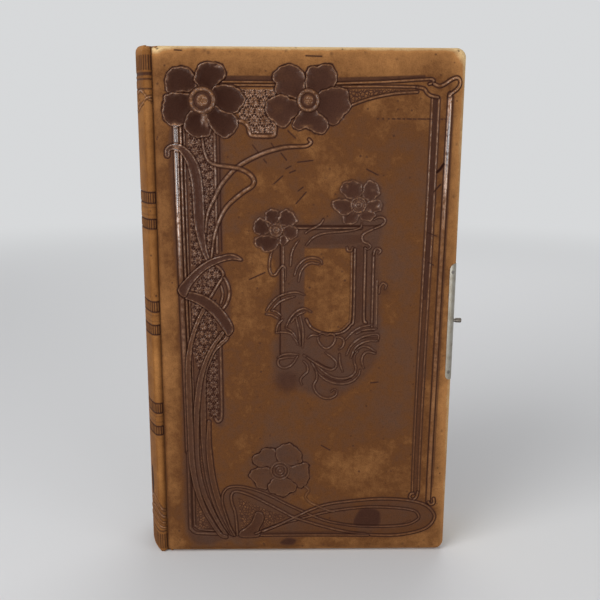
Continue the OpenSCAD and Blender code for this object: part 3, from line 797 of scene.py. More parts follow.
# %% The small frame: leaves and ribbons
for line in (
    [(80.5, 185.6), (83, 187.4), (86, 188.8), (88.5, 190.4), (89.8, 192.8)],
    [(81, 179.2), (84, 182.6), (88, 184.8), (93, 185.8), (100, 186.4), (106, 187.2), (109.6, 188.6),
     (110.2, 190.6)],
    [(119.5, 189.4), (116, 187.6), (112, 185.6), (110.4, 183.6), (111.2, 181), (113.6, 180), (115.2, 178.4),
     (113.8, 177), (112, 177.6)],
    [(117, 188), (120.6, 189.6), (122.4, 191.6), (121.6, 193.6), (119, 194), (116.6, 192.8)],
    [(102.6, 178), (103, 176.4), (104.8, 176.2), (105.6, 178)],
    [(116.8, 174), (117.4, 176.6), (119.2, 177.4), (120.6, 176), (119.4, 174.4)],
    [(120.2, 153), (120.6, 156.6), (122.2, 158.6), (124, 157.4), (123.4, 155.4)],
    [(72.6, 168), (73.2, 174.6), (75, 179), (76.8, 181.4)],
    [(74.8, 163), (76.4, 167.6), (79.4, 170.8), (82.4, 172.2), (86, 172.2), (88.8, 170.8), (89.2, 169.2)],
    [(77, 159.6), (78, 164.6), (80.2, 167.8), (83.4, 169.6), (87.4, 169)],
    [(62.8, 176), (61.6, 171.4), (61.4, 166.4), (62.6, 163.2), (64.6, 163.2), (66.4, 165.8), (68.4, 168),
     (69.8, 166.4), (69.8, 160)],
    [(59.8, 143.6), (62, 147), (66, 151), (71, 153), (76, 153.6), (80, 152.2)],
    [(62.6, 143.8), (66, 147.6), (70, 149.8), (75, 151.4)],
    [(59.6, 141.6), (63, 141), (66.8, 138.6)],
    [(62.6, 143.6), (65.4, 142.8), (67.6, 140.6)],
    [(65, 131.4), (66, 135.6), (68.6, 138.6)],
    [(70.2, 134), (72.6, 139.4), (76, 143), (80, 144.6), (83.8, 142.8)],
    [(73, 137), (76.4, 140.8), (80.4, 142.8)],
    [(65, 131.2), (69, 131.4), (72.8, 130.6), (75, 128), (76.8, 124.6)],
    [(70.4, 133.6), (73.6, 131.6), (76.4, 127.4)],
    [(75.6, 139.6), (77.4, 132), (78, 124)],
    [(77.8, 140.6), (79.4, 133), (79.4, 123)],
    [(102.4, 127), (106.4, 131.4), (111.4, 134.4), (117, 135.6)],
    [(108.4, 130.6), (113, 132.6), (119.4, 133.2)],
    [(103.4, 118.6), (105.6, 123.6), (109.4, 127.2), (114, 129.4), (120.2, 130), (120.3, 126.4)],
    [(105.8, 117), (108, 122.4), (112, 125.4), (116, 126.6), (120.2, 126.4)],
    [(108, 120.4), (111.4, 123.2), (115, 123), (119.2, 120.2)],
    [(119, 119.4), (114.8, 120.2), (112.4, 118.2), (111.8, 114.6), (113, 111)],
    [(80, 118.4), (84, 115.4), (88, 111.8), (92, 108.2), (96, 105.8), (101, 105), (105.6, 106),
     (108.2, 108.6), (108.6, 111.4), (107.6, 114.8), (107.8, 118.2), (109.6, 121)],
    [(86.4, 110), (90, 106), (95, 103), (101, 102), (106.4, 103.2), (110, 106.6), (111, 110)],
    [(84.4, 114), (86.8, 109.6), (87.2, 105), (85.6, 101.4), (86.6, 97.6), (90, 94.4), (94, 93.6), (97.4, 95),
     (98.4, 97.6), (96.6, 98.8), (95.2, 97.4)],
    [(80, 115), (82, 112.4), (82, 109), (79.6, 106.6), (78.2, 104.2), (79, 101.6)],
    [(66, 117), (69, 118.8), (73, 119.2), (77, 118.8)],
    [(76.6, 117.8), (74.6, 114.4), (72, 112), (68.8, 111.2), (66.2, 113), (66.4, 116), (70.4, 117),
     (74.4, 117)],
    [(87.6, 129.6), (88, 126.2), (90.2, 123.2), (92.6, 122.2), (95.4, 124), (97, 127), (96.6, 129.6),
     (94.4, 130.6), (92.4, 129.8), (90, 130.8), (87.6, 129.6)],
    [(97.4, 128.8), (100.2, 128.4), (101.8, 126.4), (101.2, 123.4), (99.4, 121.8)],
    [(87.6, 129.4), (84.6, 129.8), (82, 128)],
    [(92, 119.8), (95.8, 116.8), (97.8, 114.2), (97.4, 111.4), (95, 110), (91, 111.2), (86, 114.2),
     (81.6, 117.4)],
    [(99.6, 119), (99.8, 114), (101.4, 109)],
):
    front.bead(line, 0.85, 0.28, (0.7, 0.5), flank=1.2)
for line in ([(91, 106.8), (96, 104.2), (101, 103.6), (106.4, 105)], [(87, 115), (91.6, 112.2),
                                                                      (95.4, 110.8)], [(111, 131.8),
                                                                                       (114, 132),
                                                                                       (118, 132)],
             [(112, 128), (115.4, 128.2), (119, 128.2)]):
    front.groove(line, 0.7, 0.2)
front.stain(ring((123, 154.6), 2.6), 0.5, 2.0)
print("leaves of the small frame drawn")

# %% [markdown]
# The two small flowers are made like the large ones, with shallower petals and more ragged edges,
# because the same hand tools leave a coarser edge on a small shape.

# %% The two small flowers
FLOWER_D = (
    [(61.4, 188.6), (58.4, 192.4), (55.4, 192.6), (53.4, 189.4), (54.4, 185.6), (58, 184.6), (61.2, 186)],
    [(62.6, 190.2), (59.6, 193), (59.8, 196), (62.2, 197.6), (65.2, 197), (66.4, 194), (65.6, 191)],
    [(66.6, 191), (67.2, 195.8), (70, 197.6), (73.4, 196), (75.6, 192.6), (74.2, 190), (70, 189)],
    [(69, 188.4), (73, 189), (76, 187.2), (76, 184.4), (73.4, 182.4), (70.4, 183), (68.6, 185.6)],
    [(63.2, 183.4), (58.6, 184), (54.6, 182.8), (53.8, 180), (56.8, 177.8), (59.4, 175.8), (63, 176.4),
     (66, 179), (66.2, 182.8)],
    [(67, 183), (69.2, 183.8), (71.2, 181.4), (69.4, 179.4), (67.2, 180.2)],
)
FLOWER_E = (
    [(104.8, 203.4), (101, 205.2), (98.8, 208.4), (100.2, 211.4), (103.6, 212.8), (107.4, 212), (109.6, 210),
     (109.8, 206.6), (108.4, 204.6)],
    [(110.6, 205), (110.8, 209.6), (113, 212.6), (116, 212), (118.8, 208.6), (118, 205.2), (115, 203),
     (112, 203.2)],
    [(112.2, 200.6), (115.6, 202.8), (119.2, 202.4), (120.4, 199.8), (118.8, 197.4), (115.6, 196.8),
     (112.6, 198.4)],
    [(109.6, 196.8), (109, 194), (111.4, 192.4), (115, 192.8), (117.4, 195.4), (114.8, 196.6), (112, 197.6)],
    [(107.4, 196.6), (108.4, 194), (106.6, 191.2), (103.4, 190.4), (100.6, 191.8), (100.2, 195),
     (103.6, 196.8)],
    [(104.2, 201.6), (100, 203), (96, 202.8), (94.2, 200.6), (96.2, 198.4), (98.8, 196), (102, 195.4),
     (104.6, 197.8)],
)
for petals, centre, size, dye in ((FLOWER_D, (65, 187), 3.2, 1.06), (FLOWER_E, (108.2, 200.4), 3.8, 0.9)):
    for outline in petals:
        front.petal(outline, 0.4, dye, 0.3, 0.42, 2.6, 0.9)
    front.deepen(centre[0] - 6, centre[1], 7, 12, 0.14)
    front.dome(centre, size + 0.6, 0.2)
    front.bead(ring(centre, size), 0.8, 0.24, closed=True, keep=0.9, flank=0.9)
    front.stipple(centre, size - 1.2, size + 0.9, 0.6)
    front.bead(ring(centre, size * 0.42), 0.7, 0.24, closed=True, keep=0.9, flank=1.1)
    front.dome(centre, 0.7, 0.3)
for spot in ((118.2, 199.4, 1.4, 0.8, 0.8), (102, 210.4, 0.7, 1.3, 0.5), (115.6, 208.4, 0.9, 0.8, 0.4)):
    front.wear(*spot)
print("small flowers of", len(FLOWER_D), "and", len(FLOWER_E), "petals")

# %% [markdown]
# A century of handling shows: the head and the fore-edge are rubbed light, grime has settled on the
# panel, the upper beads are burnished, and something sharp has left short dark scratches. The head is
# lighter partly as painted light from above, with a painted highlight along the top of its roll, and a
# dark band beside the joint is painted shade of its crease. Patches are listed as soft ovals. Noise
# alone would put wear where no hand has been.

# %% Rubbed and grimy patches, painted highlight and shade, scratches and stains
# Some patches paint light and shade: (80, 281, 120, 2.0, 1.1) is a painted highlight on top of the head roll,
# (1, 62, 3, 60, -0.5) is painted shade beside the joint's crease, and the broad head band (80, 279, 110, 12,
# 0.68) is partly rubbed leather and partly painted light from above.
PATCHES = (
    (80, 279, 110, 12, 0.68), (5, 279, 9, 4, 0.5), (150, 272, 20, 12, -0.02), (160, 235, 4.5, 55, 0.8),
    (5, 215, 6, 50, 0.12), (5, 90, 6, 75, 0.34), (159.5, 90, 5, 75, 0.85), (115, 55, 28, 14, 0.3),
    (93, 155, 14, 24, 0.04), (50, 150, 13, 36, 0.08), (50, 225, 16, 20, -0.06), (124, 200, 18, 50, -0.1),
    (130, 115, 16, 45, -0.16), (95, 84, 42, 16, -0.15), (60, 88, 24, 14, -0.02), (85, 225, 36, 14, -0.12),
    (80, 5, 80, 6, -0.05), (150, 150, 5, 90, 0.12), (100, 232, 14, 8, 0.12), (120, 70, 10, 8, 0.1),
    (12, 6, 12, 4, 0.3), (150, 6, 12, 5, 0.25), (80, 281, 120, 2.0, 1.1), (2, 280, 6, 4, 1.4),
    (161, 277, 5, 6, 0.6), (1, 62, 3, 60, -0.5), (88, 140, 60, 10, 0.08), (84, 216, 20, 9, 0.1),
    (128, 150, 10, 30, -0.1), (58, 228, 20, 16, -0.13), (46, 130, 12, 50, -0.06), (5, 130, 6, 130, -0.05),
    (158, 220, 5, 60, 0.1),
)
for patch in PATCHES:
    front.patch(*patch)
# The crests fade towards the tail, and two lower stretches of bead are dulled. In the crests' light colour
# this is painted highlight, kept on the upper beads; in their coat it is less polish.
front.crest *= 0.4 + 0.6 * ease(40, 190, front.v)[None, :]
for spot in ((13.6, 236, 2, 7, 5.0), (13.7, 214, 2, 25, 5.0), (153.8, 230, 2.4, 22, 5.0),
             (53, 236, 3, 2, 1.8), (153, 172, 3, 42, -0.7), (14.4, 160, 2.4, 32, -0.65)):
    front.burnish(*spot)
SCRATCHES = (
    ((64, 211.4), (68.4, 215.4)), ((70, 219), (72.6, 220.4)), ((72, 217), (75, 218.2)),
    ((76.4, 207.6), (79, 209.6)), ((75.4, 201), (80.6, 207)), ((53, 231), (54.6, 228.8)),
    ((55, 228.4), (56, 227)), ((62.6, 232), (64, 229.6)), ((67.6, 227), (70.4, 223.4)),
    ((71, 238.4), (75, 234.6)), ((76, 222.4), (84, 223.4)), ((58.6, 223.8), (60, 222)),
    ((50.6, 160.6), (59, 164.4)), ((118, 216), (112, 219)), ((14, 277.8), (17.6, 277.6)),
    ((80, 275.3), (88, 275.1)), ((145, 186), (150, 184)), ((146, 170), (149, 168.4)),
    ((90, 66), (95, 63)), ((117, 102.6), (121, 103)),
)
for start, end in SCRATCHES:
    front.groove([start, end], 0.48, 0.12, 1.45)
DASHES = ((117, 0.4), (119.6, 0.5), (122.4, 0.6), (124.6, 1.4), (127.2, 1.6), (130, 1.0), (132.2, 2.2),
          (135.4, 1.4), (137.8, 4.0), (142.6, 2.4), (149.6, 1.0), (151.6, 0.4))
for x, far in DASHES:
    front.groove([(x, 244.6), (x + far, 244.5)], 0.5, 0.12, 1.4)
front.groove([(148.8, 217.6), (150.4, 219.2), (152.2, 221.8)], 1.4, 0.15, 1.5)
front.groove([(147.6, 207.4), (150.9, 211.3)], 0.7, 0.12, 1.4)
# The leather is made darker on a blotch inside the loop near the tail.
front.stain([(109, 17), (112, 26), (118, 27.6), (124, 25), (124, 17), (117, 15)], 1.06, 1.0)
front.stain([(67, 6), (71, 9), (76, 8), (75, 5), (70, 4.4)], 1.05, 0.9)
SPECKS = ((31, 276.6, 0.9), (24, 277.4, 0.5), (70, 277.6, 0.6), (93, 276.4, 0.8), (110, 277.2, 0.5),
          (126, 274, 0.5), (48, 5, 0.8), (58, 4.4, 0.6), (92, 4.6, 0.7), (104, 3.6, 0.6), (138, 5, 0.7),
          (150, 7, 0.5), (157, 246, 0.5), (158, 205, 0.6), (158.4, 232, 0.5), (156.6, 118, 0.5),
          (157.6, 74, 0.6), (156.4, 52, 0.5))
for x, z, size in SPECKS:
    front.stain(ring((x, z), size), 0.55, 0.6)
front.stain(ring((29, 277.6), 1.0), 0.5, 0.8)
front.stain(ring((40, 225), 0.5), 0.8, 0.4)
print("patches and scratches drawn")

# %% [markdown]
# ## From the plan to padded leather
# A padded cover is a board with a thin quilt of wadding under leather that is drawn round the edges
# and turned in on the inside. The grid is walked outwards from an inner rectangle: over the round
# edge, down the side, round a small lip and a little way under the endpaper. At the corners the walk
# fans out, so the grid closes over them without a fold. On the hinge side the corners stay nearly
# square, because there the leather runs on into the joint.

# %% Cutting a grid finer where the plan is busy
def flat_grid(wide, tall, cell):
    """A flat grid about the origin."""
    made = bmesh.new()
    bmesh.ops.create_grid(made, x_segments=round(wide / cell), y_segments=round(tall / cell), size=0.5)
    reach = max(v.co.x for v in made.verts)
    bmesh.ops.scale(made, vec=(wide / 2 / reach, tall / 2 / reach, 1.0), verts=made.verts)
    return made


def refine(made, cell, tests):
    """Halves the uppermost faces, once for each test that holds there."""
    top = max(v.co.z for v in made.verts)
    for test in tests:
        whole = [f for f in made.faces if len(f.verts) == 4 and f.calc_area() < 1.2 * cell * cell]
        middle = np.array([f.calc_center_median() for f in whole])
        wanted = test(middle[:, 0], middle[:, 1]) & (middle[:, 2] > top - 0.01)
        edges = list({e for f, wish in zip(whole, wanted) if wish for e in f.edges})
        bmesh.ops.subdivide_edges(made, edges=edges, cuts=1, use_grid_fill=True)
        cell /= 2


print("grid helpers ready")

# %% Walking round the edge of a cover
ROLL, LIP, UNDER = 5.0, 0.8, 4.0
SQUARE, TUCK = 0.8, 0.04
WALL = COVER_T - ROLL - LIP
ARC, LIP_ARC = ROLL * math.pi / 2, LIP * math.pi / 2
WALK = ARC + WALL + LIP_ARC + UNDER
SLAB_X = 1.5
HALF_W = (COVER_W - SLAB_X) / 2 - ROLL
HALF_H = COVER_H / 2 - ROLL
MID_X = (COVER_W + SLAB_X) / 2


def walk_round(u, v):
    """Book x, depth below the face, book z and outward slope of grid points, and the sideways normal."""
    qx, qz = np.clip(u, -HALF_W, HALF_W), np.clip(v, -HALF_H, HALF_H)
    a, b = np.abs(u - qx), np.abs(v - qz)
    d = np.maximum(a, b)
    share = math.pi / 4 * np.minimum(a, b) / np.maximum(d, 1e-9)
    steep = np.where(a >= b, share, math.pi / 2 - share)
    nx, nz = np.sign(u) * np.cos(steep), np.sign(v) * np.sin(steep)
    square = np.where(u < 0, SQUARE, 0.0)
    reach = np.maximum(np.abs(nx), np.abs(nz)) ** -square
    over = np.clip(d, 0, ARC) / ROLL
    lip = np.clip(d - ARC - WALL, 0, LIP_ARC) / LIP
    under = np.clip(d - ARC - WALL - LIP_ARC, 0, UNDER)
    out = ROLL * np.sin(over) - LIP * (1 - np.cos(lip)) - under
    down = ROLL * (1 - np.cos(over)) + np.clip(d - ARC, 0, WALL) + LIP * np.sin(lip) - TUCK * under
    return qx + nx * reach * out + MID_X, down, qz + nz * reach * out + COVER_H / 2, over + lip, nx, nz


print(f"walk round the edge: {WALK:.1f} mm on each side")

# %% [markdown]
# One function makes either cover from its plan. It cuts the grid finer, walks it round the edge, lifts
# it by the plan, by the crown of the padding and by a little slack, and closes it under the endpaper.
# The plan's fields are left on the vertices as attributes. Painted textures could carry them as well,
# but attributes need no unwrapping and stay with the mesh.

# %% Making a cover's leather
CROWN, SLACK = 0.35, 0.12
FACE_END, SIDE_END = 1.5, 2.4
INNER_RUB = 0.1
FIELDS = "dye", "crest", "rub", "punch"


def piece(name, bm, material, body, replaced):
    """The bmesh as an object on a body, in place of the CAD node it stands for."""
    mesh = bpy.data.meshes.new(name)
    bm.to_mesh(mesh)
    bm.free()
    made = bpy.data.objects.new(name, mesh)
    scene.collection.objects.link(made)
    mesh.materials.append(material)
    mesh.polygons.foreach_set("use_smooth", [True] * len(mesh.polygons))
    if body:
        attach(made, body)
    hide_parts(replaced)
    triangles = sum(len(p.vertices) - 2 for p in mesh.polygons)
    print(name, len(mesh.vertices), "vertices,", triangles, "triangles")
    return made


def add_fields(made, plan, x, z, **changed):
    """The plan's fields at each vertex, or the values given in their place."""
    for key in FIELDS:
        layer = made.data.attributes.new(key, "FLOAT", "POINT")
        values = changed.get(key, plan.sample(getattr(plan, key), x, z))
        layer.data.foreach_set("value", np.ascontiguousarray(values, np.float32))


def cover_skin(name, plan, side, material, body, cell, replaced):
    """A padded skin with a plan on its face; side is -1 for the front cover and 1 for the back one."""
    def test_for(mark, edge):
        def test(u, v):
            x, _, z, slope, _, _ = walk_round(u, v)
            return (slope < 1.4) & plan.at(mark, x, z) | edge & (slope > 0.02) & (slope < 1.7)
        return test

    bm = flat_grid(2 * (HALF_W + WALK), 2 * (HALF_H + WALK), cell)
    refine(bm, cell, [test_for(plan.busy(0.012, 1.3), True), test_for(plan.busy(0.035, 0.35), False)])
    flat = np.array([v.co for v in bm.verts])
    x, down, z, slope, nx, nz = walk_round(flat[:, 0], flat[:, 1])
    face = slope < FACE_END
    spans = ((x, MID_X, HALF_W), (z, COVER_H / 2, HALF_H))
    across, upright = (1 - ((a - middle) / half).clip(-1, 1) ** 4 for a, middle, half in spans)
    slack = np.sin(x / 17 + z / 29) * np.sin(z / 21 - x / 37) * SLACK
    lift = np.where(face, plan.sample(plan.height, x, z) + (CROWN + slack) * (across * upright), 0.0)
    lean = np.sin(slope) * lift
    spots = (x + nx * lean, side * (HALF_T - down + np.cos(slope) * lift), z + nz * lean)
    for v, *spot in zip(bm.verts, *spots):
        v.co = put(*spot)
    bmesh.ops.holes_fill(bm, edges=[e for e in bm.edges if e.is_boundary], sides=0)
    bmesh.ops.recalc_face_normals(bm, faces=bm.faces)
    made = piece(name, bm, material, body, replaced)
    beyond = [np.maximum(np.abs(a - middle) - half + 4, 0) for a, middle, half in spans]
    free = ease(2.4, 6.0, x)
    worn = 0.5 * ease(0.35, 1.2, slope) + 0.35 * ease(4.5, 8.5, np.hypot(*beyond))
    rubbed = plan.sample(plan.rub, x, z) + free * worn
    # The dark dye on the hinge-side roll, where it turns down into the joint, is painted shade of the crease.
    crease = 0.85 * (1 - free) * ease(0.8, 1.1, slope)
    add_fields(made, plan, x, z, dye=np.maximum(plan.sample(plan.dye, x, z) * face, crease),
               crest=plan.sample(plan.crest, x, z) * face, rub=np.where(slope < SIDE_END, rubbed, INNER_RUB))


print("crown of the padding:", CROWN, "mm")

# %% [markdown]
# ## The leather's finish
# Calf that was stained brown: tan where it is rubbed, bare where the head's corner is worn through,
# darker where hands have left grime, nearly black where dye was wiped into the pressed shapes, and
# lighter on the crests. Some of it is painted light and shade: a pale highlight along the top of the
# head roll, dark shade in the crease beside each joint and in the dished hearts of the large flowers,
# and part of the crests' lightness. One node group makes the colour, the gloss and the grain for every
# leather piece. It reads the fields that the plan left on the mesh, and lays noise of four sizes over
# them, so that no patch has a clean edge.

# %% The leather group
hide, into, onto = group(
    "stained_hide",
    {"Vector": "Vector", "Dye": "Float", "Crest": "Float", "Rub": "Float", "Punch": "Float", "Panel": "Color",
     "Worn": "Color", "Grime": "Color", "Dyed": "Color", "Ridge": "Color"},
    {"Color": "Color", "Roughness": "Float", "Polish": "Float", "Height": "Float"},
)
BARE_AND_HIGHLIGHT = (0.60, 0.42, 0.21, 1.0)
BARE_AND_HIGHLIGHT_FROM, GRIME_GAIN = 1.1, -1.6
place = into["Vector"]
cloud = noise(hide, place, 55.0, 5.0, 0.6)
mottle = noise(hide, place, 150.0, 4.0, 0.6)
scuff = noise(hide, place, 420.0, 3.0, 0.65)
spread = into["Rub"]
for pattern, share in ((noise(hide, place, 22.0, 4.0), 1.1), (cloud, 1.0), (mottle, 0.7), (scuff, 0.45)):
    spread = sums(hide, "ADD", spread, sums(hide, "MULTIPLY_ADD", pattern, share, -share / 2))
light = sums(hide, "SUBTRACT", spread, 0.01, clamp=True)
colour = mixed(hide, light, into["Panel"], into["Worn"])
# Past this level of rub the leather turns pale. It is bare at the worn corner of the head, and it is a
# painted highlight along the top of the head roll.
colour = mixed(hide, sums(hide, "SUBTRACT", spread, BARE_AND_HIGHLIGHT_FROM, clamp=True), colour, BARE_AND_HIGHLIGHT)
colour = mixed(hide, sums(hide, "MULTIPLY", spread, GRIME_GAIN, clamp=True), colour, into["Grime"])
print("ground colour from four sizes of noise")

# %% [markdown]
# Over the ground come fine creases, flea-bite specks, the dye, and the crests. Dye above its full
# strength turns to ink. A crest is lighter, partly as the light leather under the stain and partly as
# a painted highlight, but a burnished one goes back to the dyed colour, because there only the shine
# is bright.

# %% Creases, specks, dye, and crests that are rubbed and partly painted highlight
INK, INK_GAIN = (0.014, 0.0030, 0.0010, 1.0), 2.2
BURNISHED, DRIFT = 2.0, (0.025, 0.025, 0.025)
wander = node(hide, "ShaderNodeTexNoise", {"Vector": place, "Scale": 45.0, "Detail": 3.0}).outputs["Color"]
drift = node(hide, "ShaderNodeVectorMath", {0: wander, 1: DRIFT}, operation="MULTIPLY").outputs[0]
strayed = node(hide, "ShaderNodeVectorMath", {0: place, 1: drift}, operation="ADD").outputs[0]
crease = ramp(hide, cells(hide, strayed, 75.0, "DISTANCE_TO_EDGE")["Distance"], 0.03, 0.006)
crease = sums(hide, "MULTIPLY", crease, ramp(hide, cloud, 0.5, 0.66, end=0.2))
speck = ramp(hide, cells(hide, place, 200.0)["Distance"], 0.17, 0.08)
speck = sums(hide, "MULTIPLY", speck, ramp(hide, mottle, 0.42, 0.6, end=0.75))
colour = mixed(hide, sums(hide, "MAXIMUM", crease, speck), colour, into["Dyed"])
soaked = sums(hide, "MULTIPLY", into["Dye"], sums(hide, "MULTIPLY_ADD", mottle, 0.6, 0.68), clamp=True)
colour = mixed(hide, soaked, colour, into["Dyed"])
inked = sums(hide, "MULTIPLY_ADD", into["Dye"], INK_GAIN, -INK_GAIN, clamp=True)
colour = mixed(hide, inked, colour, INK)
# The Ridge colour lightens the crests: partly leather rubbed light, partly painted highlight.
crest = sums(hide, "MULTIPLY", into["Crest"], ramp(hide, scuff, 0.34, 0.66, 0.08, 0.85), clamp=True)
colour = mixed(hide, crest, colour, into["Ridge"])
colour = mixed(hide, sums(hide, "SUBTRACT", into["Crest"], BURNISHED, clamp=True), colour, into["Dyed"])
print("stained_hide so far:", len(hide.nodes), "nodes")

# %% [markdown]
# Where the plan says punched, a cell pattern draws the small bosses, some rubbed lighter than others.
# A finer one gives pores. These forms are too small for the mesh, so they also feed the bump height.
# Gloss rises on the crests, which hands have polished.

# %% Punch bosses, pores and gloss
BOSSES, PORES, FIBRES = 640.0, 1500.0, 2600.0
boss = ramp(hide, cells(hide, place, BOSSES, "DISTANCE_TO_EDGE")["Distance"], 0.06, 0.24)
rubbed_boss = ramp(hide, cells(hide, place, BOSSES)["Color"], 0.15, 0.85, 0.1, 0.58)
gaps = sums(hide, "MULTIPLY", into["Punch"], sums(hide, "SUBTRACT", 1.0, boss))
tops = sums(hide, "MULTIPLY", into["Punch"], sums(hide, "MULTIPLY", boss, rubbed_boss))
colour = mixed(hide, gaps, colour, into["Dyed"])
colour = mixed(hide, tops, colour, into["Ridge"])
pores = cells(hide, place, PORES)["Distance"]
fill(hide, onto["Color"], mixed(hide, 1.0, colour, ramp(hide, pores, 0.0, 0.6, 0.8, 1.08), "MULTIPLY"))
fill(hide, onto["Polish"], sums(hide, "MULTIPLY", crest, 1.25, clamp=True))
gloss = sums(hide, "MULTIPLY_ADD", mottle, 0.3, 0.42)
gloss = sums(hide, "SUBTRACT", gloss, sums(hide, "MULTIPLY", crest, 0.2))
fill(hide, onto["Roughness"], sums(hide, "ADD", gloss, sums(hide, "MULTIPLY", light, 0.08), clamp=True))
fibres = sums(hide, "MULTIPLY", noise(hide, place, FIBRES, 2.0), 0.35)
grain = sums(hide, "ADD", sums(hide, "MULTIPLY", pores, 0.8), fibres)
bossed = sums(hide, "MULTIPLY_ADD", sums(hide, "MULTIPLY", into["Punch"], boss), 2.4, grain)
fill(hide, onto["Height"], sums(hide, "MULTIPLY_ADD", sums(hide, "MAXIMUM", crease, speck), -1.2, bossed))
print("stained_hide:", len(hide.nodes), "nodes")

# %% [markdown]
# The tooled front is darker than the spine, as in the photograph, and the back is taken to be like the
# spine. So one group serves two materials that differ in three colours. A thin coat over the crests
# gives the wax its sharp glint, while the leather under it stays almost matt.

# %% The two leathers
DYED, RIDGE = (0.044, 0.0178, 0.0108), (0.25, 0.112, 0.044)
SURFACE = {"Specular IOR Level": 0.04, "Coat Roughness": 0.2, "Coat IOR": 1.75,
           "Coat Tint": (1.0, 0.96, 0.9, 1.0)}
GRAIN_DEEP = 0.00012


def leather(name, panel, worn, grime):
    made, tree, shader, spots = finish_material(name)
    colours = {"Panel": panel, "Worn": worn, "Grime": grime, "Dyed": DYED, "Ridge": RIDGE}
    skin = shared(tree, hide, spots["Object"], **colours)
    for key in FIELDS:
        field = node(tree, "ShaderNodeAttribute", attribute_name=key).outputs["Fac"]
        fill(tree, skin.inputs[key.capitalize()], field)
    for key, value in SURFACE.items():
        shader[key].default_value = value
    for key, source in (("Coat Weight", "Polish"), ("Base Color", "Color"), ("Roughness", "Roughness")):
        fill(tree, shader[key], skin.outputs[source])
    fill(tree, shader["Normal"], bump(tree, skin.outputs["Height"], GRAIN_DEEP, 0.6))
    return made


tooled_leather = leather("tooled_calf", (0.093, 0.0360, 0.0118), (0.30, 0.137, 0.046),
                         (0.073, 0.0375, 0.0240))
plain_leather = leather("plain_calf", (0.153, 0.0605, 0.0165), (0.35, 0.160, 0.050), (0.078, 0.0375, 0.0200))
print("leathers:", tooled_leather.name, plain_leather.name)

# %% [markdown]
# Now the front cover can be made. Its grid starts fine and is halved twice where the plan is busy,
# because its relief has to hold lines under a millimetre wide.

# %% The front cover
FRONT_CELL = 1.25
cover_skin("front_tooled_leather", front, -1, tooled_leather, "front_cover", FRONT_CELL,
           "front_leather")

# %% [markdown]
# The back cover cannot be seen in the photograph. Such albums carry a plain blind frame there: two
# raised lines with little dye beside them. It is made by the same walk round the edge, from a much
# simpler plan and a coarser grid.

# %% The back cover
BACK_CELL = 2.4
back = ToolingPlan(COVER_W, COVER_H)
for inset, wide in ((11.0, 1.5), (14.0, 0.9)):
    x0, x1, z0, z1 = SLAB_X + inset, COVER_W - inset, inset, COVER_H - inset
    corners = [(x0, z0), (x1, z0), (x1, z1), (x0, z1)]
    for start, end in zip(corners, corners[1:] + corners[:1]):
        back.bead([start, end], wide, 0.26, flank=0.5)
for patch in ((80, 278, 95, 8, 0.3), (158, 140, 6, 130, 0.2), (6, 140, 8, 130, 0.15),
              (80, 140, 60, 90, -0.12), (110, 60, 30, 30, -0.2), (60, 200, 30, 40, 0.1)):
    back.patch(*patch)
cover_skin("back_plain_leather", back, 1, plain_leather, "back_cover", BACK_CELL,
           "back_leather")

# %% [markdown]
# ## The spine and the joints
# The spine is a strip of the same leather glued over a rounded liner, and between it and each cover
# the leather runs over a narrow shoulder into the crease of the joint, where it bends each time the
# album is opened. Both are strips: a grid is given its thickness while it is flat, cut finer on its
# outer side, and then bent along a path.

# %% Bending strips of leather
STRIP_CELL, END_ROUND, END_RUB = 1.2, 3.0, 0.45


def levels(plan, z):
    """Heights above the tail of the cover, for a plan that may be a little shorter."""
    return z + (COVER_H - plan.tall) / 2


def strip(name, plan, thick, path, body, replaced):
    """A closed strip that carries the plan outside, bent along a path of x, y and the normal."""
    bm = flat_grid(plan.wide, plan.tall, STRIP_CELL)
    bmesh.ops.solidify(bm, geom=bm.faces, thickness=thick)
    marks = plan.busy(0.012, 1.0), plan.busy(0.03, 0.4)
    tests = [lambda u, v, m=m: plan.at(m, u + plan.wide / 2, v + plan.tall / 2) for m in marks]
    refine(bm, STRIP_CELL, tests)
    flat = np.array([v.co for v in bm.verts])
    u, z = flat[:, 0] + plan.wide / 2, flat[:, 1] + plan.tall / 2
    deep = flat[:, 2].max() - flat[:, 2]
    outside = deep < 0.5 * thick
    end = np.clip(1 - np.minimum(z, plan.tall - z) / END_ROUND, 0, 1)
    lift = plan.sample(plan.height, u, z) * outside - deep - 0.9 * thick * (1 - np.sqrt(1 - end**2))
    x, y, nx, ny = path(u)
    for v, *spot in zip(bm.verts, x + nx * lift, y + ny * lift, levels(plan, z)):
        v.co = put(*spot)
    bmesh.ops.recalc_face_normals(bm, faces=bm.faces)
    made = piece(name, bm, plain_leather, body, replaced)
    rubbed = plan.sample(plan.rub, u, z) + END_RUB * ease(2.2, 0.3, np.minimum(z, plan.tall - z))
    add_fields(made, plan, u, z, rub=rubbed * outside, dye=plan.sample(plan.dye, u, z) * outside)
    return made


print("strips are cut from a grid of", STRIP_CELL, "mm")

# %% [markdown]
# A path gives the place and the outward normal for each step across a strip. The spine's path is part
# of a circle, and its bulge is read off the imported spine. A joint's path goes over the shoulder, down
# into the crease and a little way up the edge of the cover.

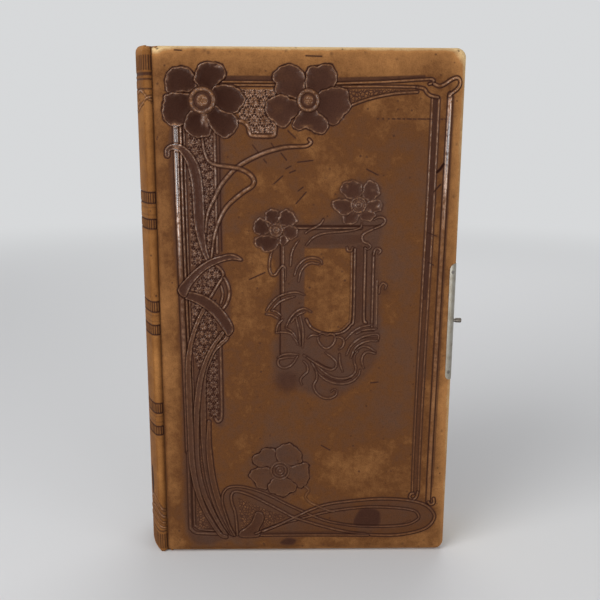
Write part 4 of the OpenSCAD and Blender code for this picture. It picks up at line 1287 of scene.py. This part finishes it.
# %% Paths of the spine and the joints
HALF_CHORD, SETBACK = 23.8, 2.0
BULGE = HINGE_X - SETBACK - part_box("spine_leather")[0].x / MM
SPINE_R = (HALF_CHORD**2 + BULGE**2) / (2 * BULGE)
SPINE_X = SPINE_R - BULGE - SETBACK
HALF_TURN = math.asin(HALF_CHORD / SPINE_R)
SPAN = 2 * HALF_TURN * SPINE_R
SHOULDER = bent([(-2.3, 22.6), (-2.1, 23.4), (-1.6, 24.0), (-0.8, 24.35), (0.2, 24.4), (1.0, 24.1),
                 (1.6, 23.5), (2.1, 22.8), (2.6, 22.4), (3.4, 23.0), (4.4, 23.7)], step=0.2)
RUN = np.concatenate([[0.0], np.cumsum(np.hypot(*np.diff(SHOULDER, axis=0).T))])
CREASE = np.interp(2.2, SHOULDER[:, 0], RUN)


def round_spine(u):
    turn = u / SPINE_R - HALF_TURN
    return SPINE_X - SPINE_R * np.cos(turn), SPINE_R * np.sin(turn), -np.cos(turn), np.sin(turn)


def over_joint(side):
    along = np.gradient(SHOULDER, axis=0)
    along /= np.hypot(*along.T)[:, None]

    def path(u):
        x, y, tx, ty = (np.interp(u, RUN, values) for values in (*SHOULDER.T, *along.T))
        return x, side * y, -ty, side * tx
    return path


print(f"spine: bulge {BULGE:.1f} mm, {SPAN:.1f} mm round; joint: {RUN[-1]:.1f} mm, crease at {CREASE:.1f} mm")

# %% [markdown]
# Three pairs of hatched bands stand where older bindings had raised cords, with flutes and scrolls at
# the head and the tail. Only the front shoulder shows in the photograph, so the bands are carried on
# round the spine. They also run over the shoulder of each joint, up to the crease.

# %% Bands and flutes
SPINE_PITCH, JOINT_PITCH = 2.2, 1.45
spine_plan = ToolingPlan(SPAN, COVER_H)
joint_plan = ToolingPlan(RUN[-1], COVER_H - 0.8)


def hatched(low, high, dye=0.95, lines=0.7):
    """Upright cuts side by side between two ruled lines, on the spine and over the shoulders."""
    for plan, last, pitch in ((spine_plan, SPAN, SPINE_PITCH), (joint_plan, CREASE, JOINT_PITCH)):
        z = levels(plan, plan.v)
        across = ease(last + 0.3, last - 0.3, plan.u)[:, None]
        held = across * (ease(low - 0.2, low + 0.2, z) * ease(high + 0.2, high - 0.2, z))[None, :]
        plan.dye = np.maximum(plan.dye, 0.25 * dye * held)
        plan.cut(ease(0.0, 0.6, np.cos(2 * math.pi * plan.u / pitch))[:, None] * held, 0.3, 1.35 * dye)
        if lines:
            rows = ease(lines / 2 + 0.3, lines / 2 - 0.2, np.abs(z[:, None] - [low, high]).min(1))
            plan.cut(across * rows[None, :], 0.22, 1.3 * dye)


def ruled(level, wide, deep=0.2, dye=0.9):
    for plan, last in ((spine_plan, SPAN), (joint_plan, CREASE)):
        row = ease(wide / 2 + 0.35, wide / 2 - 0.25, np.abs(levels(plan, plan.v) - level))
        plan.cut(ease(last + 0.3, last - 0.3, plan.u)[:, None] * row[None, :], deep, dye)


for low, high in ((200.9, 206.5), (187.4, 192.4), (142.4, 148), (129.8, 135), (84.8, 90.4), (72, 77)):
    hatched(low, high)
for level in (198.6, 194.8, 140.4, 137.2, 82.8, 79.6):
    ruled(level, 0.4, 0.12, 0.5)
hatched(268, 275.4, 0.8, 0.0)
hatched(2.4, 11.4, 0.8, 0.0)
for level, wide in ((266.2, 1.6), (263.6, 0.8), (258.8, 0.7), (13.2, 0.8)):
    ruled(level, wide)
# The soft dark valley along each joint's crease, narrower and darker towards the head, is painted shade,
# carried in the dye.
sharp = ease(110, 215, joint_plan.v)[None, :]
valley = bell(joint_plan.u[:, None] - CREASE, 0.85 - 0.45 * sharp)
joint_plan.dye = np.maximum(joint_plan.dye, valley * (0.6 + 0.35 * sharp))
print("bands cut on", len(spine_plan.u) * len(spine_plan.v), "spots of the spine")

# %% [markdown]
# At the head and the tail of the spine plain scrolls run out from both shoulders. Each is drawn once
# and mirrored, and on the joints the lines run on as short beads towards the crease.

# %% Scrolls at the head and tail of the spine
for line in (
    [(0.2, 256.6), (4, 258), (8, 257.6), (11, 255.6), (11.4, 252.6), (9.2, 251.2), (7.4, 252.6)],
    [(0.2, 252.4), (5, 250.6), (10, 248.4), (16, 248)],
    [(0.2, 30.6), (5, 32.4), (10, 32), (13.4, 29.8), (12.6, 27.2), (10.4, 27.6)],
    [(0.2, 25.6), (5, 27), (9.4, 26)],
    [(0.2, 21), (5, 22.4), (11, 22.6), (20, 21.6)],
    [(0.2, 16.8), (6, 18), (12, 18), (20, 17.4)],
):
    for mirror in (False, True):
        spine_plan.bead([(SPAN - u if mirror else u, z) for u, z in line], 1.2, 0.26, flank=0.85)
for low, high in ((256.6, 253), (252.4, 254.6), (30.6, 25.6), (25.6, 21.4), (21, 17.6), (16.8, 14.8)):
    line = [(0, low), (1.6, low * 0.6 + high * 0.4), (3.2, high * 0.8 + low * 0.2), (5.4, high)]
    joint_plan.bead(line, 0.9, 0.24, flank=0.85)
spine_plan.stain([(9.6, 50), (8, 46), (7.4, 40), (8.6, 34), (11, 32), (14, 38), (13, 47)], 1.15, 1.2,
                 sink=0.3)
for patch in ((26, 279, 40, 4, 0.5), (26, 2, 40, 4, 0.25), (12, 225, 10, 40, 0.2), (26, 110, 16, 60, 0.22),
              (20, 168, 18, 20, 0.22)):
    spine_plan.patch(*patch)
for patch in ((2.4, 230, 1.6, 22, 0.3), (2.4, 168, 1.6, 16, 0.3), (2.4, 110, 1.6, 18, 0.35),
              (2.4, 52, 1.6, 18, 0.25)):
    joint_plan.patch(*patch)
print("scrolls drawn")

# %% [markdown]
# The spine's strip stays still. A joint's strip has its one edge glued to the spine and its other edge
# to a cover; here it is put on no body, and its place is baked into its mesh.

# %% The leather of the spine and the joints
strip("spine_tooled_leather", spine_plan, 1.2, round_spine, "spine", "spine_leather")
for cover, side in (("front", -1), ("back", 1)):
    fold = strip(cover + "_joint_fold", joint_plan, 0.9, over_joint(side), None, cover + "_joint_leather")
    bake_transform(fold)
    print(fold.name, "bends between spine and", cover + "_cover")

# %% [markdown]
# ## Card, paper, linen and metal
# The rest of the album keeps its CAD shape and gets its finish. Two effects serve several of these
# materials: a paper stock with soft clouding and brown age spots, and an age layer for metal.

# %% Paper and metal groups
stock, into, onto = group("paper_stock", {"Vector": "Vector", "Sheet": "Color", "Aged": "Color"},
                          {"Color": "Color", "Height": "Float"})
cloud = noise(stock, into["Vector"], 28.0, 5.0)
fibres = noise(stock, into["Vector"], 1400.0, 3.0, 0.7)
spots_mask = ramp(stock, noise(stock, into["Vector"], 210.0, 2.0), 0.68, 0.8, end=0.55, kind="LINEAR")
share = sums(stock, "ADD", sums(stock, "MULTIPLY_ADD", cloud, 1.1, -0.4), spots_mask, clamp=True)
fill(stock, onto["Color"], mixed(stock, share, into["Sheet"], into["Aged"]))
fill(stock, onto["Height"], fibres)
aged, into, onto = group("metal_age", {"Vector": "Vector", "Bright": "Color", "Dull": "Color"},
                         {"Color": "Color", "Roughness": "Float", "Height": "Float"})
film = noise(aged, into["Vector"], 160.0, 5.0, 0.65)
drawn = node(aged, "ShaderNodeMapping", {"Vector": into["Vector"], "Scale": (1.0, 1.0, 0.06)}).outputs[0]
brush = noise(aged, drawn, 2400.0, 2.0)
share = ramp(aged, film, 0.42, 0.72, kind="LINEAR")
fill(aged, onto["Color"], mixed(aged, share, into["Bright"], into["Dull"]))
dull = sums(aged, "MULTIPLY_ADD", share, 0.25, 0.24)
fill(aged, onto["Roughness"], sums(aged, "ADD", dull, sums(aged, "MULTIPLY", brush, 0.14)))
fill(aged, onto["Height"], brush)
print("groups:", stock.name, aged.name)

# %% [markdown]
# Each leaf is a core of card between two mats, and its edges were gilt in one go with the leaves
# pressed together. So the gilt belongs to the faces that look sideways, and the normal tells them
# apart: no second material or extra faces are needed. The mats also have a ruled gilt line.

# %% Gilt card for the leaves
GILT = (0.60, 0.40, 0.13, 1.0)
MARGIN, LINE_HALF = 0.005, 0.0004
CARD_DEEP, CARD_ROUGH = 0.00004, 0.8


def card(name, sheet, old, gilded=False, ruled_frame=None):
    """Card that may have gilt edges and a gilt line; the frame gives the line's middle and half span."""
    made, tree, shader, spots = finish_material(name)
    paper = shared(tree, stock, spots["Object"], Sheet=sheet, Aged=old)
    colour = paper.outputs["Color"]
    shader["Roughness"].default_value = CARD_ROUGH
    if gilded:
        across = node(tree, "ShaderNodeSeparateXYZ", {0: spots["Normal"]}).outputs["Y"]
        gilt = sums(tree, "LESS_THAN", sums(tree, "ABSOLUTE", across), 0.5)
        if ruled_frame:
            place = node(tree, "ShaderNodeSeparateXYZ", {0: spots["Object"]}).outputs
            beyond = []
            for axis, (middle, half) in ruled_frame.items():
                off = sums(tree, "ABSOLUTE", sums(tree, "SUBTRACT", place[axis], middle))
                beyond.append(sums(tree, "SUBTRACT", off, half))
            line = sums(tree, "ABSOLUTE", sums(tree, "MAXIMUM", *beyond))
            gilt = sums(tree, "MAXIMUM", gilt, sums(tree, "LESS_THAN", line, LINE_HALF))
        rubbed = ramp(tree, noise(tree, spots["Object"], 110.0, 5.0), 0.26, 0.46)
        gilt = sums(tree, "MULTIPLY", gilt, rubbed)
        colour = mixed(tree, gilt, colour, GILT)
        fill(tree, shader["Metallic"], sums(tree, "MULTIPLY", gilt, 0.85))
        fill(tree, shader["Roughness"], sums(tree, "MULTIPLY_ADD", gilt, -0.38, 0.78))
    fill(tree, shader["Base Color"], colour)
    fill(tree, shader["Normal"], bump(tree, paper.outputs["Height"], CARD_DEEP, 0.6))
    return made


low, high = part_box("leaf_01_mats")
page_frame = {
    "X": ((low.x + high.x) / 2, (high.x - low.x) / 2 - MARGIN),
    "Z": ((low.z + high.z) / 2, (high.z - low.z) / 2 - MARGIN),
}
mat_card = card("ivory_mat_card", (0.74, 0.66, 0.50), (0.55, 0.42, 0.24), True, page_frame)
leaf_card = card("buff_core_card", (0.56, 0.48, 0.35), (0.40, 0.30, 0.18), True)
pasteboard = card("grey_pasteboard", (0.34, 0.29, 0.22), (0.22, 0.17, 0.12))
wadding = card("cotton_wadding", (0.72, 0.69, 0.62), (0.60, 0.55, 0.45))
print("cards: 4")

# %% [markdown]
# The endpapers are watered: a ribbed sheet was pressed on itself, so the ribs flattened in wandering
# bands. A distorted wave pattern gives such bands, and lightens and smooths them. The linen of the
# guards is a plain weave: two sine waves, multiplied, are its threads, and noise makes them uneven.

# %% Watered endpaper and linen
WATERED = (0.86, 0.81, 0.70, 1.0)
THREADS, THREAD_LOW, THREAD_HIGH = 9000.0, (0.40, 0.33, 0.22, 1.0), (0.62, 0.54, 0.40, 1.0)
DUST = (0.36, 0.28, 0.18, 1.0)
endpaper, tree, shader, spots = finish_material("watered_endpaper")
paper = shared(tree, stock, spots["Object"], Sheet=(0.70, 0.63, 0.50), Aged=(0.52, 0.41, 0.26))
waves = {"Vector": spots["Object"], "Scale": 60.0, "Distortion": 14.0, "Detail": 2.0, "Detail Scale": 0.6}
water = node(tree, "ShaderNodeTexWave", waves, bands_direction="Z").outputs["Fac"]
pale = sums(tree, "MULTIPLY", water, 0.35)
fill(tree, shader["Base Color"], mixed(tree, pale, paper.outputs["Color"], WATERED))
fill(tree, shader["Roughness"], sums(tree, "MULTIPLY_ADD", water, -0.2, 0.62))
fill(tree, shader["Normal"], bump(tree, water, 0.00005, 0.4))
linen, tree, shader, spots = finish_material("buff_linen")
place = node(tree, "ShaderNodeSeparateXYZ", {0: spots["Object"]}).outputs
warp = sums(tree, "SINE", sums(tree, "MULTIPLY", sums(tree, "ADD", place["X"], place["Y"]), THREADS))
weft = sums(tree, "SINE", sums(tree, "MULTIPLY", place["Z"], THREADS))
weave = sums(tree, "MULTIPLY_ADD", sums(tree, "MULTIPLY", warp, weft), 0.5, 0.5)
slub = sums(tree, "MULTIPLY", noise(tree, spots["Object"], 500.0, 3.0), 0.5)
thread = mixed(tree, weave, THREAD_LOW, THREAD_HIGH)
fill(tree, shader["Base Color"], mixed(tree, slub, thread, DUST))
shader["Roughness"].default_value = 0.9
fill(tree, shader["Normal"], bump(tree, weave, 0.00012, 0.7))
print("endpaper and linen ready")

# %% [markdown]
# The clasp is plated with nickel that has gone yellowish and dull, and its pins are darker steel. The
# stud wears the same dark steel, whose darkness on it is a painted reflection of the dark room that it
# mirrors. Both are the same age layer with other colours, brushed along the height of the album.

# %% Nickel and steel
METAL_DEEP = 0.00002


def metal(name, bright, dull):
    made, tree, shader, spots = finish_material(name)
    layer = shared(tree, aged, spots["Object"], Bright=bright, Dull=dull)
    shader["Metallic"].default_value = 1.0
    fill(tree, shader["Base Color"], layer.outputs["Color"])
    fill(tree, shader["Roughness"], layer.outputs["Roughness"])
    fill(tree, shader["Normal"], bump(tree, layer.outputs["Height"], METAL_DEEP, 0.35))
    return made


nickel = metal("worn_nickel", (0.37, 0.345, 0.29), (0.22, 0.19, 0.145))
steel = metal("dark_steel_and_shade", (0.22, 0.20, 0.18), (0.10, 0.08, 0.06))
print("metals:", nickel.name, steel.name)

# %% [markdown]
# The CAD pieces arrive with a plain material in each of their slots. Dressing them means only putting
# the finished materials there, so their shapes and their bodies stay as they were packed.

# %% Dressing the CAD pieces
def dress(material, *names):
    for name in names:
        for place in nodes[name].material_slots:
            place.material = material


LEAVES = 10
for number in range(1, LEAVES + 1):
    dress(mat_card, f"leaf_{number:02d}_mats")
    dress(leaf_card, f"leaf_{number:02d}_core")
    dress(linen, f"leaf_{number:02d}_guard")
dress(leaf_card, "guard_stubs")
dress(linen, "spine_cloth")
dress(pasteboard, "spine_liner", "front_board", "back_board")
dress(wadding, "front_wadding", "back_wadding")
dress(endpaper, "front_pastedown", "back_pastedown")
dress(nickel, "front_clasp_plate", "back_clasp_plate", "clasp_hasp")
# On the stud the dark steel is partly a painted dark reflection.
dress(steel, "clasp_stud", "front_clasp_pins", "back_clasp_pins", "clasp_hinge_pin")
print("dressed", len(nodes), "CAD pieces")
